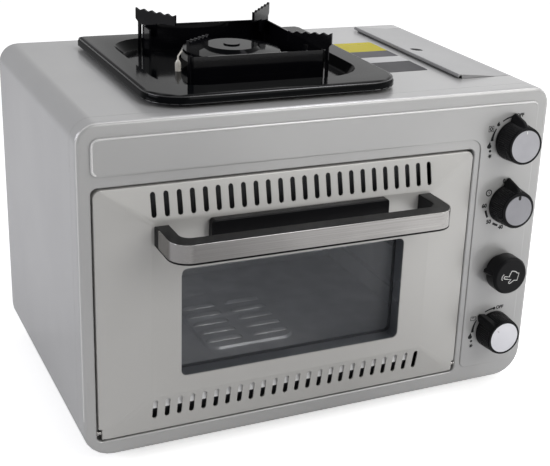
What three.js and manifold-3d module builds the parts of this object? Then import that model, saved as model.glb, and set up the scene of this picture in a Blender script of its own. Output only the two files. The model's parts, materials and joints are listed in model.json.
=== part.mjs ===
// Portable gas oven with a single gas hob on top and a canister bay at its right side.
// Millimetres. X runs to the right, Y to the back and Z up; the door and the knobs face -Y.
// The case is drawn with Y = 0 on its front face and Z = 0 on its underside, and the last
// section lifts it onto its feet and centres it front to back.

import * as THREE from 'three';
import { mergeVertices } from 'three/addons/utils/BufferGeometryUtils.js';
import Module from 'manifold-3d';

const wasm = await Module();
wasm.setup();

// Sizes shared by all sheet-metal pieces
const sheet = 1.2;
const seat = 0.3;
const overrun = 3;
const shaftClearance = 0.9;
const pipeClearance = 0.6;
const roundEndFlat = 0.05;
const weldDistance = 0.003;
const roundedEdgeShare = 1 - Math.SQRT1_2;

// Case
const caseWidth = 500;
const caseHeight = 335;
const caseDepth = 313;
const topCornerRadius = 20;
const bottomCornerRadius = 30;
const frontFlange = 18;
const frontEdgeRadius = 4;
const footHeight = 10;
const footRadius = 12;
const footTaper = 2;
const footInsetX = 44;
const footInsetY = 34;
const footStemRadius = 3;
const footStemLength = 7;
const baseFrontInset = 8;

// Raised field pressed into the front panel, an L lying over and right of the door
const embossHeight = 1.6;
const embossSideMargin = 13;
const embossTopMargin = 14;
const embossBottomMargin = 19;
const embossStripHeight = 36.5;
const embossRadius = 8;
const embossInnerRadius = 12;
const embossSoftness = 1.1;

// Door and the opening it closes
const doorSideMargin = 14.5;
const controlColumnWidth = 88.5;
const doorCentreX = (doorSideMargin - controlColumnWidth) / 2;
const doorWidth = caseWidth - doorSideMargin - controlColumnWidth;
const doorBottom = 18.8;
const doorTopMargin = 62.2;
const doorTop = caseHeight - doorTopMargin;
const doorCornerRadius = 8;
const doorGap = 1.6;
const doorBottomGap = 2.4;
const doorEdgeProud = 1;
const doorFaceProud = 9;
const doorEdgeSoftness = 1.5;
const doorReturnDepth = 11.5;
const doorLowerReturnDepth = 7.5;
const doorBandSide = 50.5;
const doorBandTop = 34;
const doorBandBottom = 41;
const doorFieldRadius = 4;
const openingChamfer = 0.9;
const openingRadius = 6;

// Cooling slots in the sloping bands of the door
const slotCount = 24;
const slotRowInset = 54.2;
const slotSpacing = (doorWidth - 2 * slotRowInset) / (slotCount - 1);
const slotWidth = 5;
const upperSlotDrop = 29.3;
const upperSlotLength = 23.5;
const lowerSlotRise = 15.2;
const lowerSlotLength = 22;

// Window, its black frame, the glass and the inner door panel
const windowSideInset = 79.75;
const windowBottomInset = 58.7;
const windowTopInset = 82.8;
const windowRadius = 6;
const windowFrameWall = 1.5;
const windowFrameLip = 9;
const windowDepth = 15.8;
const glassThickness = 4;
const glassOverlap = 9;
const innerPanelSideGap = 5.5;
const innerPanelBottomGap = 12.2;
const innerPanelFold = 11;
const innerPanelRadius = 5;

// Door hinge pins, seen in the notched lower corners of the door
const hingeY = 3.2;
const hingeRise = 6.7;
const hingeZ = doorBottom + hingeRise;
const hingePinRadius = 2.4;
const hingeNotchWidth = 3.4;
const hingeNotchRise = 12.2;
const hingeNotchTop = doorBottom + hingeNotchRise;
const hingePinTail = 1.3;
const hingePinHead = 0.9;
const hingeCollarRadius = 3.1;

// Handle: a bow-shaped grip with a metal cover, and a guard bar on the door behind it
const handleInset = 53.5;
const handleReach = 54.5;
const handleDepth = 18;
const handleLegWidth = 14;
const handleDrop = 56.3;
const handleBottom = doorTop - handleDrop;
const handleHeight = 19.9;
const handleOuterRadius = 20;
const handleInnerRadius = 10;
const handleEdge = 1.2;
const coverThickness = 0.8;
const coverLift = 2.2;
const coverStart = 11;
const guardBarInset = 105.5;
const guardBarThickness = 10;
const guardBarHeight = 24;
const guardBarRadius = 4;

// Oven cavity
const linerFront = 16;
const linerSheet = 1;
const cavitySideGap = 28;
const cavityBottom = 20;
const cavityTopDrop = 10.8;
const cavityBackGap = 28;
const linerFlangeSide = 6;
const linerFlangeTop = 10;
const railWidth = 7;
const railHeight = 5;
const railRise = 55;
const railSpacing = 50;
const railCount = 3;
const railEndInset = 9;
const floorPlateRise = 26;
const floorPlateGap = 0.6;
const floorPlateFrontGap = 1.2;
const floorHoodShift = 4;
const floorHoodWidth = 104;
const floorHoodDepth = 130;
const floorHoodFront = 70;
const floorHoodHeight = 2.5;
const floorHoodRadius = 14;
const floorSlotShift = 5;
const floorSlotLength = 42;
const floorSlotWidth = 7;
const floorSlotRowSpacing = 21;
const floorSlotRows = 5;
const floorSlotColumns = 2;
const floorSlotColumnSpacing = 54;
const exhaustSlotCount = 11;
const exhaustSlotWidth = 5;
const exhaustSlotHeight = 30;
const exhaustRowInset = 74;
const exhaustTopInset = 22;

// Wire rack
const rackFrameRadius = 2.5;
const rackWireRadius = 1.5;
const rackSideGap = 2.5;
const rackFrontGap = 12;
const rackBackGap = 10;
const rackWireSpacing = 28;
const rackCornerRadius = 12;

// Tube burner under the oven floor
const ovenBurnerRadius = 7;
const ovenBurnerBore = 5.2;
const ovenBurnerHeight = 12.5;
const ovenBurnerY = 74;
const ovenBurnerRun = 150;
const ovenBurnerBend = 30;
const ovenBurnerMouth = 28;
const ovenBurnerBoreDepth = 16;

// Partition, canister tray and canister lid in the right-hand bay
const bayWidth = 84;
const burnerPassage = 20;
const partitionFrontGap = 2;
const partitionFoot = 12;
const trayRightGap = 8.5;
const trayDrop = 86;
const trayEndCutRun = 38;
const trayInset = 3.5;
const trayNeckRadius = 21;
const trayEarRadius = 6;
const trayEarDrop = 12;
const lidWidth = 82;
const lidFront = 51.5;
const lidBackMargin = 21.5;
const lidOverlap = 4;
const lidRaise = 4.8;
const lidEdgeGap = 1.8;
const lidRampRun = 48;
const lidGap = 1;
const lidSideDrop = 27.5;
const lidSideGap = 5;
const lidEndDepth = 7;
const lidEarRadius = 3.6;
const lidPinInset = 6;
const lidPinDrop = 35;
const lidEarNotchDepth = 6.4;
const lidEarNotchTop = 8.4;
const lidPinRadius = 1.6;
const cornerShare = 0.36;
const lidHoleWidth = 15;
const lidHoleLength = 11;
const lidHoleInset = 11;

// Knobs on the right of the front panel, from the bottom up: oven, safety button, timer, hob
const knobInset = 42.3;
const knobLowestZ = 62.1;
const knobTopDrop = 54.4;
const timerLift = 2.4;
const controlCount = 4;
const knobBaseRadius = 21.8;
const knobFaceRadius = 19.4;
const knobLength = 23.5;
const knobGap = 1;
const knobSkirt = 3;
const knobFlatRim = 1.4;
const timerRim = 2.8;
const knobDiscThickness = 1;
const pointerTip = 29;
const pointerNoseTip = 24.5;
const pointerFaceTip = 20.2;
const pointerNoseLength = 4.5;
const pointerHalfWidth = 5.5;
const pointerTipHalfWidth = 1.4;
const pointerEndInset = 2.2;
const stemRadius = 4;
const stemDepth = 12;
const stemReach = 10;
const ovenKnobTurn = 45;
const safetyButtonRadius = 21;
const safetyButtonLength = 17;
const safetyButtonBevel = 1.6;
const safetyButtonEdge = 3.2;
const safetyRidgeInset = 4.8;
const safetyStandOff = 7.5;
const safetyHollowRadius = 17.5;
const safetyHollowDepth = 8;
const safetyCollarRadius = 16.5;
const safetyStroke = 6;
const safetyPointerTip = 25;
const safetyPointerNose = 23;
const safetyPointerTurn = 80;

// Gas gear behind the knobs
const valveRadius = 15;
const valveLength = 40;
const valveFlangeWidth = 40;
const valveFlangeHeight = 32;
const valveFlangeThickness = 3;
const timerSize = 46;
const timerDepth = 34;
const timerEdge = 3;
const safetyValveRadius = 11;
const safetyValveLength = 58;
const regulatorRadius = 24;
const regulatorLength = 14;
const regulatorSocketRadius = 17;
const regulatorSocketBore = 12;
const regulatorSocketLength = 6;
const pipeRadius = 3;
const pipeBend = 10;
const hobPipeBend = 6;
const pipeY = 36;
const thermocoupleRun = 20;
const thermocoupleLift = 1.3;
const thermocoupleRadius = 1.3;
const thermocoupleBend = 8;

// Hob: drip pan, burner, wind guard and pot supports
const hobShift = 2;
const hobSetback = 9;
const panWidth = 262;
const panFrontY = 20;
const panDepth = 262;
const panFrontRadius = 36;
const panRearRadius = 8;
const panHeight = 12;
const panWall = 1.5;
const panEdgeRadius = 4;
const wellSideInset = 24;
const wellFrontInset = 32;
const wellBackInset = 24;
const wellRadius = 45;
const wellFloor = 1.8;
const panSkirtLift = 3.4;
const wellSpread = 6;
const burnerNeckRadius = 34;
const burnerNeckTop = 7;
const burnerRimRadius = 52;
const burnerRimZ = 10;
const burnerTop = 16;
const burnerWall = 4;
const burnerCupDepth = 34;
const caseHobClearance = 6;
const mixTubeRadius = 11;
const mixTubeBore = 8.5;
const mixTubeDrop = 22;
const mixTubeMouthGap = 38.5;
const capRadius = 50.5;
const capThickness = 3;
const capDomeRadius = 30;
const capDomeHeight = 7.5;
const capButtonRadius = 8.5;
const capButtonHeight = 1.2;
const capSpigotDepth = 2;
const capSlotCount = 32;
const capSlotWidth = 2.6;
const capSlotHeight = 1.8;
const capSlotDepth = 7;
const electrodeRadius = 3;
const electrodeReach = 63;
const electrodeTurn = 190;
const electrodeHeight = 13;
const electrodeDrop = 14;
const electrodeWireRadius = 0.9;
const electrodeWireLength = 9;
const electrodeWireBend = 1.8;
const guardWidth = 144;
const guardDepth = 154;
const guardShift = 2;
const guardHeight = 28.7;
const guardWall = 2;
const guardRadius = 4;
const guardReturn = 6;
const guardLeftRun = 28;
const supportInnerReach = 64;
const supportOverhang = 6;
const supportThickness = 3;
const supportTop = 44.6;
const supportRise = 3;
const supportDepth = 10.5;
const supportLegWidth = 3.2;
const supportLegGap = 6;
const supportProngWidth = 13;
const supportProngDrop = 11;
const supportBumps = 5;
const stepsPerBump = 6;
const supportBumpHeight = 2;

// Rounding steps: how many straight runs stand in for a quarter turn or a full one
const cornerSteps = 3;
const fineSteps = 1;
const edgeSteps = 3;
const pipeRunLength = 8;
const roundSides = 32;
const smallSides = 16;
const tubeSides = 12;
const pipeSides = 8;

// Solids from three.js geometry

function isTurnedInside(positions, triangles) {
  const [a, b, c] = [new THREE.Vector3(), new THREE.Vector3(), new THREE.Vector3()];
  let volume = 0;
  for (let i = 0; i < triangles.length; i += 3) {
    a.fromArray(positions, triangles[i] * 3);
    b.fromArray(positions, triangles[i + 1] * 3);
    c.fromArray(positions, triangles[i + 2] * 3);
    volume += a.dot(b.cross(c));
  }
  return volume < 0;
}

// Welds a closed geometry and drops triangles that have no area, such as those at a pole
function solid(source) {
  const geometry = source.clone();
  for (const name of Object.keys(geometry.attributes)) {
    if (name !== 'position') geometry.deleteAttribute(name);
  }
  const welded = mergeVertices(geometry);
  const positions = Float32Array.from(welded.attributes.position.array);
  const corners = welded.index.array;
  const triangles = [];
  for (let i = 0; i < corners.length; i += 3) {
    const [p, q, r] = [corners[i], corners[i + 1], corners[i + 2]];
    if (p !== q && q !== r && r !== p) triangles.push(p, q, r);
  }
  if (isTurnedInside(positions, triangles)) triangles.reverse();
  const mesh = new wasm.Mesh({
    numProp: 3,
    vertProperties: positions,
    triVerts: Uint32Array.from(triangles),
  });
  return new wasm.Manifold(mesh);
}

function geometryOf(body) {
  const mesh = body.getMesh();
  const geometry = new THREE.BufferGeometry();
  geometry.setAttribute('position', new THREE.BufferAttribute(mesh.vertProperties, 3));
  geometry.setIndex(new THREE.BufferAttribute(mesh.triVerts, 1));
  geometry.computeVertexNormals();
  return geometry;
}

const joinAll = (bodies) => bodies.reduce((whole, body) => whole.add(body));
const cutAll = (body, cuts) => cuts.reduce((rest, cut) => rest.subtract(cut), body);

// Where a drawing's own axes (u, v, out) lie: the long way of the prism is the third
const frames = {
  x: new THREE.Matrix4().makeBasis(
    new THREE.Vector3(0, 1, 0), new THREE.Vector3(0, 0, 1), new THREE.Vector3(1, 0, 0)),
  y: new THREE.Matrix4().makeBasis(
    new THREE.Vector3(1, 0, 0), new THREE.Vector3(0, 0, 1), new THREE.Vector3(0, -1, 0)),
  z: new THREE.Matrix4(),
};

function prism(axis, shape, from, to, bevel = 0, steps = cornerSteps) {
  const geometry = new THREE.ExtrudeGeometry(shape, {
    depth: to - from - 2 * bevel,
    curveSegments: steps,
    bevelEnabled: bevel > 0,
    bevelThickness: bevel,
    bevelSize: bevel,
    bevelOffset: -bevel,
    bevelSegments: 2,
  });
  geometry.translate(0, 0, bevel);
  geometry.applyMatrix4(frames[axis]);
  if (axis === 'x') geometry.translate(from, 0, 0);
  if (axis === 'y') geometry.translate(0, to, 0);
  if (axis === 'z') geometry.translate(0, 0, from);
  return solid(geometry);
}

function block(low, high) {
  const size = high.map((value, i) => value - low[i]);
  const geometry = new THREE.BoxGeometry(...size);
  geometry.translate(...high.map((value, i) => (value + low[i]) / 2));
  return solid(geometry);
}

// A round bar or hole along one axis; u and v place its centre in the drawing's own axes
function roundBar(axis, radius, u, v, from, to, sides = roundSides) {
  const shape = new THREE.Shape();
  for (let i = 0; i < sides; i += 1) {
    const turn = (2 * Math.PI * (i + 0.5)) / sides;
    const point = [u + radius * Math.cos(turn), v + radius * Math.sin(turn)];
    if (i === 0) shape.moveTo(...point);
    else shape.lineTo(...point);
  }
  shape.closePath();
  return prism(axis, shape, from, to);
}

// A rectangle with rounded corners; radii run anticlockwise from the low corner
function roundedShape(u0, v0, u1, v1, radii) {
  const [a, b, c, d] = Array.isArray(radii) ? radii : [radii, radii, radii, radii];
  const quarter = Math.PI / 2;
  const shape = new THREE.Shape();
  shape.moveTo(u0 + a, v0);
  shape.lineTo(u1 - b, v0);
  shape.absarc(u1 - b, v0 + b, b, -quarter, 0);
  shape.lineTo(u1, v1 - c);
  shape.absarc(u1 - c, v1 - c, c, 0, quarter);
  shape.lineTo(u0 + d, v1);
  shape.absarc(u0 + d, v1 - d, d, quarter, 2 * quarter);
  shape.lineTo(u0, v0 + a);
  shape.absarc(u0 + a, v0 + a, a, 2 * quarter, 3 * quarter);
  return shape;
}

function slotShape(centreU, v0, v1, width) {
  const half = width / 2;
  return roundedShape(centreU - half, v0, centreU + half, v1, half - roundEndFlat);
}

function polygon(points) {
  const shape = new THREE.Shape();
  points.forEach(([u, v], i) => (i === 0 ? shape.moveTo(u, v) : shape.lineTo(u, v)));
  shape.closePath();
  return shape;
}

// Skins the outlines given at rising places along an axis and closes both ends
function loft(axis, rings) {
  const apart = (point, i, all) => point.distanceTo(all.at(i - 1)) > weldDistance;
  const outlines = rings.map(({ shape }) => shape.getPoints(cornerSteps).filter(apart));
  const count = outlines[0].length;
  const toSpace = { y: (p, at) => [p.x, at, p.y], z: (p, at) => [p.x, p.y, at] }[axis];
  const positions = rings.flatMap(({ at }, r) => outlines[r].flatMap((p) => toSpace(p, at)));
  const index = [];
  for (let r = 0; r + 1 < rings.length; r += 1) {
    for (let i = 0; i < count; i += 1) {
      const j = (i + 1) % count;
      const [low, high] = [r * count, (r + 1) * count];
      index.push(low + i, low + j, high + j, low + i, high + j, high + i);
    }
  }
  const last = (rings.length - 1) * count;
  for (const [a, b, c] of THREE.ShapeUtils.triangulateShape(outlines[0], [])) index.push(a, c, b);
  for (const [a, b, c] of THREE.ShapeUtils.triangulateShape(outlines.at(-1), [])) {
    index.push(last + a, last + b, last + c);
  }
  const geometry = new THREE.BufferGeometry();
  geometry.setAttribute('position', new THREE.Float32BufferAttribute(positions, 3));
  geometry.setIndex(index);
  return solid(geometry);
}

// A pressed tray: full outline from the back edge to a rounded front edge
function softTray(outlineAt, back, face, radius) {
  const rings = [{ at: back, shape: outlineAt(0) }];
  for (let i = 0; i <= edgeSteps; i += 1) {
    const turn = (i / edgeSteps) * (Math.PI / 2);
    const inset = radius * (1 - Math.cos(turn));
    rings.push({ at: face + radius * (1 - Math.sin(turn)), shape: outlineAt(inset) });
  }
  return loft('y', rings);
}

// Turned pieces: profile points are (radius, distance along the axis)
function turned(axis, profile, centre, sides = roundSides) {
  const geometry = new THREE.LatheGeometry(profile.map(([r, at]) => new THREE.Vector2(r, at)), sides);
  if (axis === 'z') geometry.rotateX(Math.PI / 2);
  geometry.translate(...centre);
  return solid(geometry);
}

// A pipe through the given corners, each corner rounded by a quarter bend
function pipe(corners, radius, bend, sides = pipeSides) {
  const points = corners.map((corner) => new THREE.Vector3(...corner));
  const path = new THREE.CurvePath();
  let from = points[0];
  for (let i = 1; i + 1 < points.length; i += 1) {
    const before = points[i - 1].clone().sub(points[i]).setLength(bend).add(points[i]);
    const after = points[i + 1].clone().sub(points[i]).setLength(bend).add(points[i]);
    path.add(new THREE.LineCurve3(from, before));
    path.add(new THREE.QuadraticBezierCurve3(before, points[i], after));
    from = after;
  }
  path.add(new THREE.LineCurve3(from, points.at(-1)));
  const section = new THREE.Shape(new THREE.Path().absarc(0, 0, radius, 0, 2 * Math.PI).getPoints(sides));
  const steps = Math.max(2, Math.round(path.getLength() / (radius + pipeRunLength)));
  return solid(new THREE.ExtrudeGeometry(section, { steps, extrudePath: path }));
}

const degrees = (value) => THREE.MathUtils.degToRad(value);

// Materials, one for each finish
const finishes = {
  bodyPaint: { color: 0xacaba6, roughness: 0.42, metalness: 0.15 },
  doorPaint: { color: 0xb9b9b4, roughness: 0.4, metalness: 0.15 },
  plainSteel: { color: 0x9c9c9a, roughness: 0.4, metalness: 0.9 },
  brushedSteel: { color: 0x96918c, roughness: 0.35, metalness: 1 },
  blackPlastic: { color: 0x161618, roughness: 0.5, metalness: 0 },
  discSilver: { color: 0xbcbcc0, roughness: 0.35, metalness: 0.7 },
  glass: { color: 0x4e5054, roughness: 0.08, metalness: 0 },
  blackFrame: { color: 0x34353a, roughness: 0.5, metalness: 0.2 },
  blackEnamel: { color: 0x17181c, roughness: 0.12, metalness: 0 },
  castAlloy: { color: 0xa9a9a6, roughness: 0.5, metalness: 0.8 },
  brass: { color: 0xb08d45, roughness: 0.35, metalness: 0.9 },
  ceramic: { color: 0xe8e4da, roughness: 0.4, metalness: 0 },
  rubber: { color: 0x1b1b1c, roughness: 0.85, metalness: 0 },
  chromeWire: { color: 0xc6c8cb, roughness: 0.2, metalness: 1 },
};

const oven = new THREE.Group();

function add(name, body, finish, parent = oven) {
  const mesh = new THREE.Mesh(geometryOf(body), new THREE.MeshStandardMaterial(finishes[finish]));
  mesh.name = name;
  parent.add(mesh);
}

// Places worked out from the sizes above
const half = caseWidth / 2;
const backInside = caseDepth - sheet;
const baseBottom = sheet + seat;
const baseTop = baseBottom + sheet;
const baseHalfWidth = half - bottomCornerRadius + sheet;
const doorLeft = doorCentreX - doorWidth / 2;
const doorRight = doorLeft + doorWidth;
const openingLeft = doorLeft - doorGap;
const openingRight = doorRight + doorGap;
const openingBottom = doorBottom - doorBottomGap;
const openingTop = doorTop + doorGap;
const windowLeft = doorLeft + windowSideInset;
const windowRight = doorRight - windowSideInset;
const windowBottom = doorBottom + windowBottomInset;
const windowTop = doorTop - windowTopInset;
const partitionX = half - bayWidth;
const cavityLeft = cavitySideGap - half;
const cavityRight = partitionX - burnerPassage;
const cavityCentre = (cavityLeft + cavityRight) / 2;
const cavityTop = doorTop - cavityTopDrop;
const cavityBack = caseDepth - cavityBackGap;
const railHeights = Array.from({ length: railCount }, (_, i) => cavityBottom + railRise + i * railSpacing);
const floorPlateZ = cavityBottom + floorPlateRise;
const floorHoodX = doorCentreX - floorHoodShift;
const exhaustSlotSpacing = (cavityRight - cavityLeft - 2 * exhaustRowInset) / (exhaustSlotCount - 1);
const trayLeft = partitionX + sheet + seat;
const trayBottom = caseHeight - trayDrop;
const lidLeft = half - lidWidth;
const lidBack = caseDepth - lidBackMargin;
const lidPinX = half - lidPinInset;
const lidPinZ = caseHeight - lidPinDrop;
const panelInside = sheet - embossHeight;
const knobX = half - knobInset;
const knobSpacing = (caseHeight - knobTopDrop - knobLowestZ) / (controlCount - 1);
const [ovenZ, safetyZ, timerRowZ, hobZ] = Array.from({ length: controlCount },
  (_, i) => knobLowestZ + i * knobSpacing);
const timerZ = timerRowZ + timerLift;
const controlZ = [ovenZ, safetyZ, timerZ, hobZ];
const mixTubeZ = caseHeight - mixTubeDrop;
const ovenBurnerZ = cavityBottom + ovenBurnerHeight;
const hobX = (lidLeft - half) / 2 - hobShift;
const hobY = panFrontY + panDepth / 2 + hobSetback;
const electrodeX = hobX + electrodeReach * Math.cos(degrees(electrodeTurn));
const electrodeY = hobY + electrodeReach * Math.sin(degrees(electrodeTurn));
const gasPipeCornerX = partitionX - hobPipeBend;
const mixTurn = Math.atan2(pipeY - hobY, gasPipeCornerX - hobX);
const mixTubeReach = Math.hypot(pipeY - hobY, gasPipeCornerX - hobX) - mixTubeMouthGap;

function caseOutline(inset) {
  const [low, high] = [bottomCornerRadius - inset, topCornerRadius - inset];
  return roundedShape(-half + inset, inset, half - inset, caseHeight - inset, [low, low, high, high]);
}

function doorOutline(inset) {
  const radius = Math.max(doorCornerRadius - inset, doorEdgeSoftness);
  return roundedShape(doorLeft + inset, doorBottom + inset, doorRight - inset, doorTop - inset, radius);
}

function openingOutline(grow) {
  return roundedShape(openingLeft - grow, openingBottom - grow, openingRight + grow, openingTop + grow,
    openingRadius + grow);
}

function windowOutline(grow) {
  return roundedShape(windowLeft - grow, windowBottom - grow, windowRight + grow, windowTop + grow,
    Math.max(windowRadius + grow, windowFrameWall));
}

// Outer wrapper: the top and both sides in one bent sheet, with lips turned in underneath
function outerWrapper() {
  const [front, back] = [frontFlange + seat, backInside - seat];
  const lipX = half - bottomCornerRadius;
  const shell = prism('y', caseOutline(0), front, back)
    .subtract(prism('y', caseOutline(sheet), front - overrun, back + overrun));
  return cutAll(shell, [
    block([-lipX, 0, -overrun], [lipX, caseDepth, sheet + overrun]),
    roundBar('z', burnerNeckRadius + caseHobClearance, hobX, hobY, caseHeight - overrun,
      caseHeight + overrun),
    roundBar('z', electrodeRadius + seat, electrodeX, electrodeY, caseHeight - overrun,
      caseHeight + overrun, smallSides),
    block([lidLeft + lidOverlap, lidFront - lidGap, lidPinZ + lidSideGap],
      [half + overrun, lidBack + lidGap, caseHeight + overrun]),
  ]);
}
add('outer_wrapper', outerWrapper(), 'bodyPaint');

// Front panel: a pressed tray with the raised field, the drawn door opening and shaft holes
function embossShape(inset) {
  const [left, right] = [-half + embossSideMargin + inset, half - embossSideMargin - inset];
  const [top, bottom] = [caseHeight - embossTopMargin - inset, embossBottomMargin + inset];
  const stripLow = caseHeight - embossTopMargin - embossStripHeight + inset;
  const columnLeft = openingRight + embossSideMargin / 2 + inset;
  const outer = Math.max(embossRadius - inset, embossSoftness);
  const inner = embossInnerRadius + inset;
  const quarter = Math.PI / 2;
  const shape = new THREE.Shape();
  shape.moveTo(left + outer, stripLow);
  shape.lineTo(columnLeft - inner, stripLow);
  shape.absarc(columnLeft - inner, stripLow - inner, inner, quarter, 0, true);
  shape.lineTo(columnLeft, bottom + outer);
  shape.absarc(columnLeft + outer, bottom + outer, outer, 2 * quarter, 3 * quarter);
  shape.lineTo(right - outer, bottom);
  shape.absarc(right - outer, bottom + outer, outer, -quarter, 0);
  shape.lineTo(right, top - outer);
  shape.absarc(right - outer, top - outer, outer, 0, quarter);
  shape.lineTo(left + outer, top);
  shape.absarc(left + outer, top - outer, outer, quarter, 2 * quarter);
  shape.lineTo(left, stripLow + outer);
  shape.absarc(left + outer, stripLow + outer, outer, 2 * quarter, 3 * quarter);
  return shape;
}

function frontPanel() {
  const outside = softTray(caseOutline, frontFlange, 0, frontEdgeRadius);
  const inside = softTray((inset) => caseOutline(inset + sheet), frontFlange + overrun, sheet,
    frontEdgeRadius);
  const tray = outside.subtract(inside);
  const field = prism('y', embossShape(0), -embossHeight, sheet, embossSoftness);
  const fieldInside = prism('y', embossShape(sheet), panelInside, sheet + overrun);
  const drawnEdge = prism('y', openingOutline(sheet), 0, linerFront - seat);
  const shaftHole = (z) => roundBar('y', stemRadius + shaftClearance, knobX, z, -overrun, sheet + overrun,
    smallSides);
  const pinHole = (x) => roundBar('x', hingePinRadius + seat, hingeY, hingeZ, x - overrun, x + overrun,
    smallSides);
  return cutAll(tray.add(field).subtract(fieldInside).add(drawnEdge), [
    prism('y', openingOutline(0), -overrun, linerFront + overrun),
    loft('y', [
      { at: -overrun, shape: openingOutline(openingChamfer) },
      { at: 0, shape: openingOutline(openingChamfer) },
      { at: openingChamfer, shape: openingOutline(0) },
    ]),
    pinHole(openingLeft),
    pinHole(openingRight),
    ...controlZ.map(shaftHole),
  ]);
}
add('front_panel', frontPanel(), 'bodyPaint');

// Back panel with a row of vent slots behind the oven's own
function ventRow(axis, count, spacing, width, centre, low, high, from, to) {
  return Array.from({ length: count }, (_, i) => {
    const u = centre + (i - (count - 1) / 2) * spacing;
    return prism(axis, slotShape(u, low, high, width), from, to, 0, fineSteps);
  });
}

function backPanel() {
  const top = cavityTop - exhaustTopInset;
  const [from, to] = [backInside - overrun, caseDepth + overrun];
  const row = ventRow('y', exhaustSlotCount, exhaustSlotSpacing, exhaustSlotWidth, cavityCentre,
    top - exhaustSlotHeight, top, from, to);
  return cutAll(prism('y', caseOutline(0), backInside, caseDepth), row);
}
add('back_panel', backPanel(), 'bodyPaint');

// Base panel resting on the wrapper's lips, with air inlets under the oven burner
function basePanel() {
  const plate = block([-baseHalfWidth, baseFrontInset, baseBottom],
    [baseHalfWidth, backInside - seat, baseTop]);
  const stemHoles = footPlaces().map(([x, y]) => roundBar('z', footStemRadius + seat, x, y,
    baseBottom - overrun, baseTop + overrun, smallSides));
  const inlets = ventRow('z', exhaustSlotCount, exhaustSlotSpacing, exhaustSlotWidth,
    cavityCentre, hobY - exhaustSlotHeight, hobY + exhaustSlotHeight,
    baseBottom - overrun, baseTop + overrun);
  return cutAll(plate, [...stemHoles, ...inlets]);
}

function footPlaces() {
  const [x, front, back] = [half - footInsetX, footInsetY, caseDepth - footInsetY];
  return [[-x, front], [x, front], [-x, back], [x, back]];
}
add('base_panel', basePanel(), 'plainSteel');

const footNames = ['foot_front_left', 'foot_front_right', 'foot_rear_left', 'foot_rear_right'];
footPlaces().forEach(([x, y], i) => {
  const foot = turned('z', [
    [0, -footHeight], [footRadius - footTaper, -footHeight], [footRadius, -footHeight + footTaper],
    [footRadius, baseBottom - seat], [footStemRadius, baseBottom - seat],
    [footStemRadius, baseBottom + footStemLength], [0, baseBottom + footStemLength],
  ], [x, y, 0], smallSides);
  add(footNames[i], foot, 'rubber');
});

// Partition between the oven and the gas bay, folded onto the base
function bayPartition() {
  const [low, high] = [baseTop + seat, caseHeight - sheet - seat];
  const [front, back] = [linerFront + partitionFrontGap, backInside - seat];
  const wall = block([partitionX, front, low], [partitionX + sheet, back, high]);
  const foot = block([partitionX, front, low], [partitionX + partitionFoot, back, low + sheet]);
  return cutAll(wall.add(foot), [
    roundBar('x', ovenBurnerRadius + pipeClearance, ovenBurnerY, ovenBurnerZ, partitionX - overrun,
      partitionX + overrun, smallSides),
    roundBar('x', pipeRadius + pipeClearance, pipeY, mixTubeZ, partitionX - overrun, partitionX + overrun,
      smallSides),
    roundBar('x', thermocoupleRadius + pipeClearance, thermocoupleY, safetyZ, partitionX - overrun,
      partitionX + overrun, smallSides),
  ]);
}
const thermocoupleY = safetyValveLength + panelInside + thermocoupleRun;
const thermocoupleZ = ovenBurnerZ + ovenBurnerRadius + thermocoupleRadius + thermocoupleLift;
add('bay_partition', bayPartition(), 'plainSteel');

// Front frame: a flat ring behind the door opening that carries the oven liner
function linerFrame() {
  const outline = roundedShape(openingLeft - linerFlangeSide, openingBottom - linerFlangeSide,
    partitionX - seat, openingTop + linerFlangeTop, doorCornerRadius);
  return prism('y', outline, linerFront, linerFront + sheet)
    .subtract(block([cavityLeft, linerFront - overrun, cavityBottom],
      [cavityRight, linerFront + sheet + overrun, cavityTop]));
}
add('liner_front_frame', linerFrame(), 'plainSteel');

// Oven liner: an open box with three pairs of pressed rack rails
function ovenLiner() {
  const wall = linerSheet;
  const outer = block([cavityLeft - wall, linerFront + sheet + seat, cavityBottom - wall],
    [cavityRight + wall, cavityBack + wall, cavityTop + wall]);
  const cavity = block([cavityLeft, linerFront, cavityBottom], [cavityRight, cavityBack, cavityTop]);
  const railShape = (x, side, z) => polygon([
    [x - side * wall / 2, z - railWidth], [x, z - railWidth],
    [x + side * railWidth, z - railHeight / 2], [x + side * railWidth, z], [x - side * wall / 2, z],
  ]);
  const rails = railHeights.flatMap((z) => [[cavityLeft, 1], [cavityRight, -1]].map(([x, side]) =>
    prism('y', railShape(x, side, z), linerFront + railEndInset, cavityBack - railEndInset)));
  const exhaust = ventRow('y', exhaustSlotCount, exhaustSlotSpacing, exhaustSlotWidth,
    cavityCentre, cavityTop - exhaustTopInset - exhaustSlotHeight, cavityTop - exhaustTopInset,
    cavityBack - overrun, cavityBack + overrun);
  return cutAll(joinAll([outer.subtract(cavity), ...rails]), [
    ...exhaust,
    roundBar('x', ovenBurnerRadius + seat, ovenBurnerY, ovenBurnerZ, cavityRight - overrun,
      cavityRight + overrun, smallSides),
    roundBar('x', thermocoupleRadius + seat, thermocoupleY, thermocoupleZ, cavityRight - overrun,
      cavityRight + overrun, smallSides),
  ]);
}
add('oven_liner', ovenLiner(), 'plainSteel');

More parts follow.
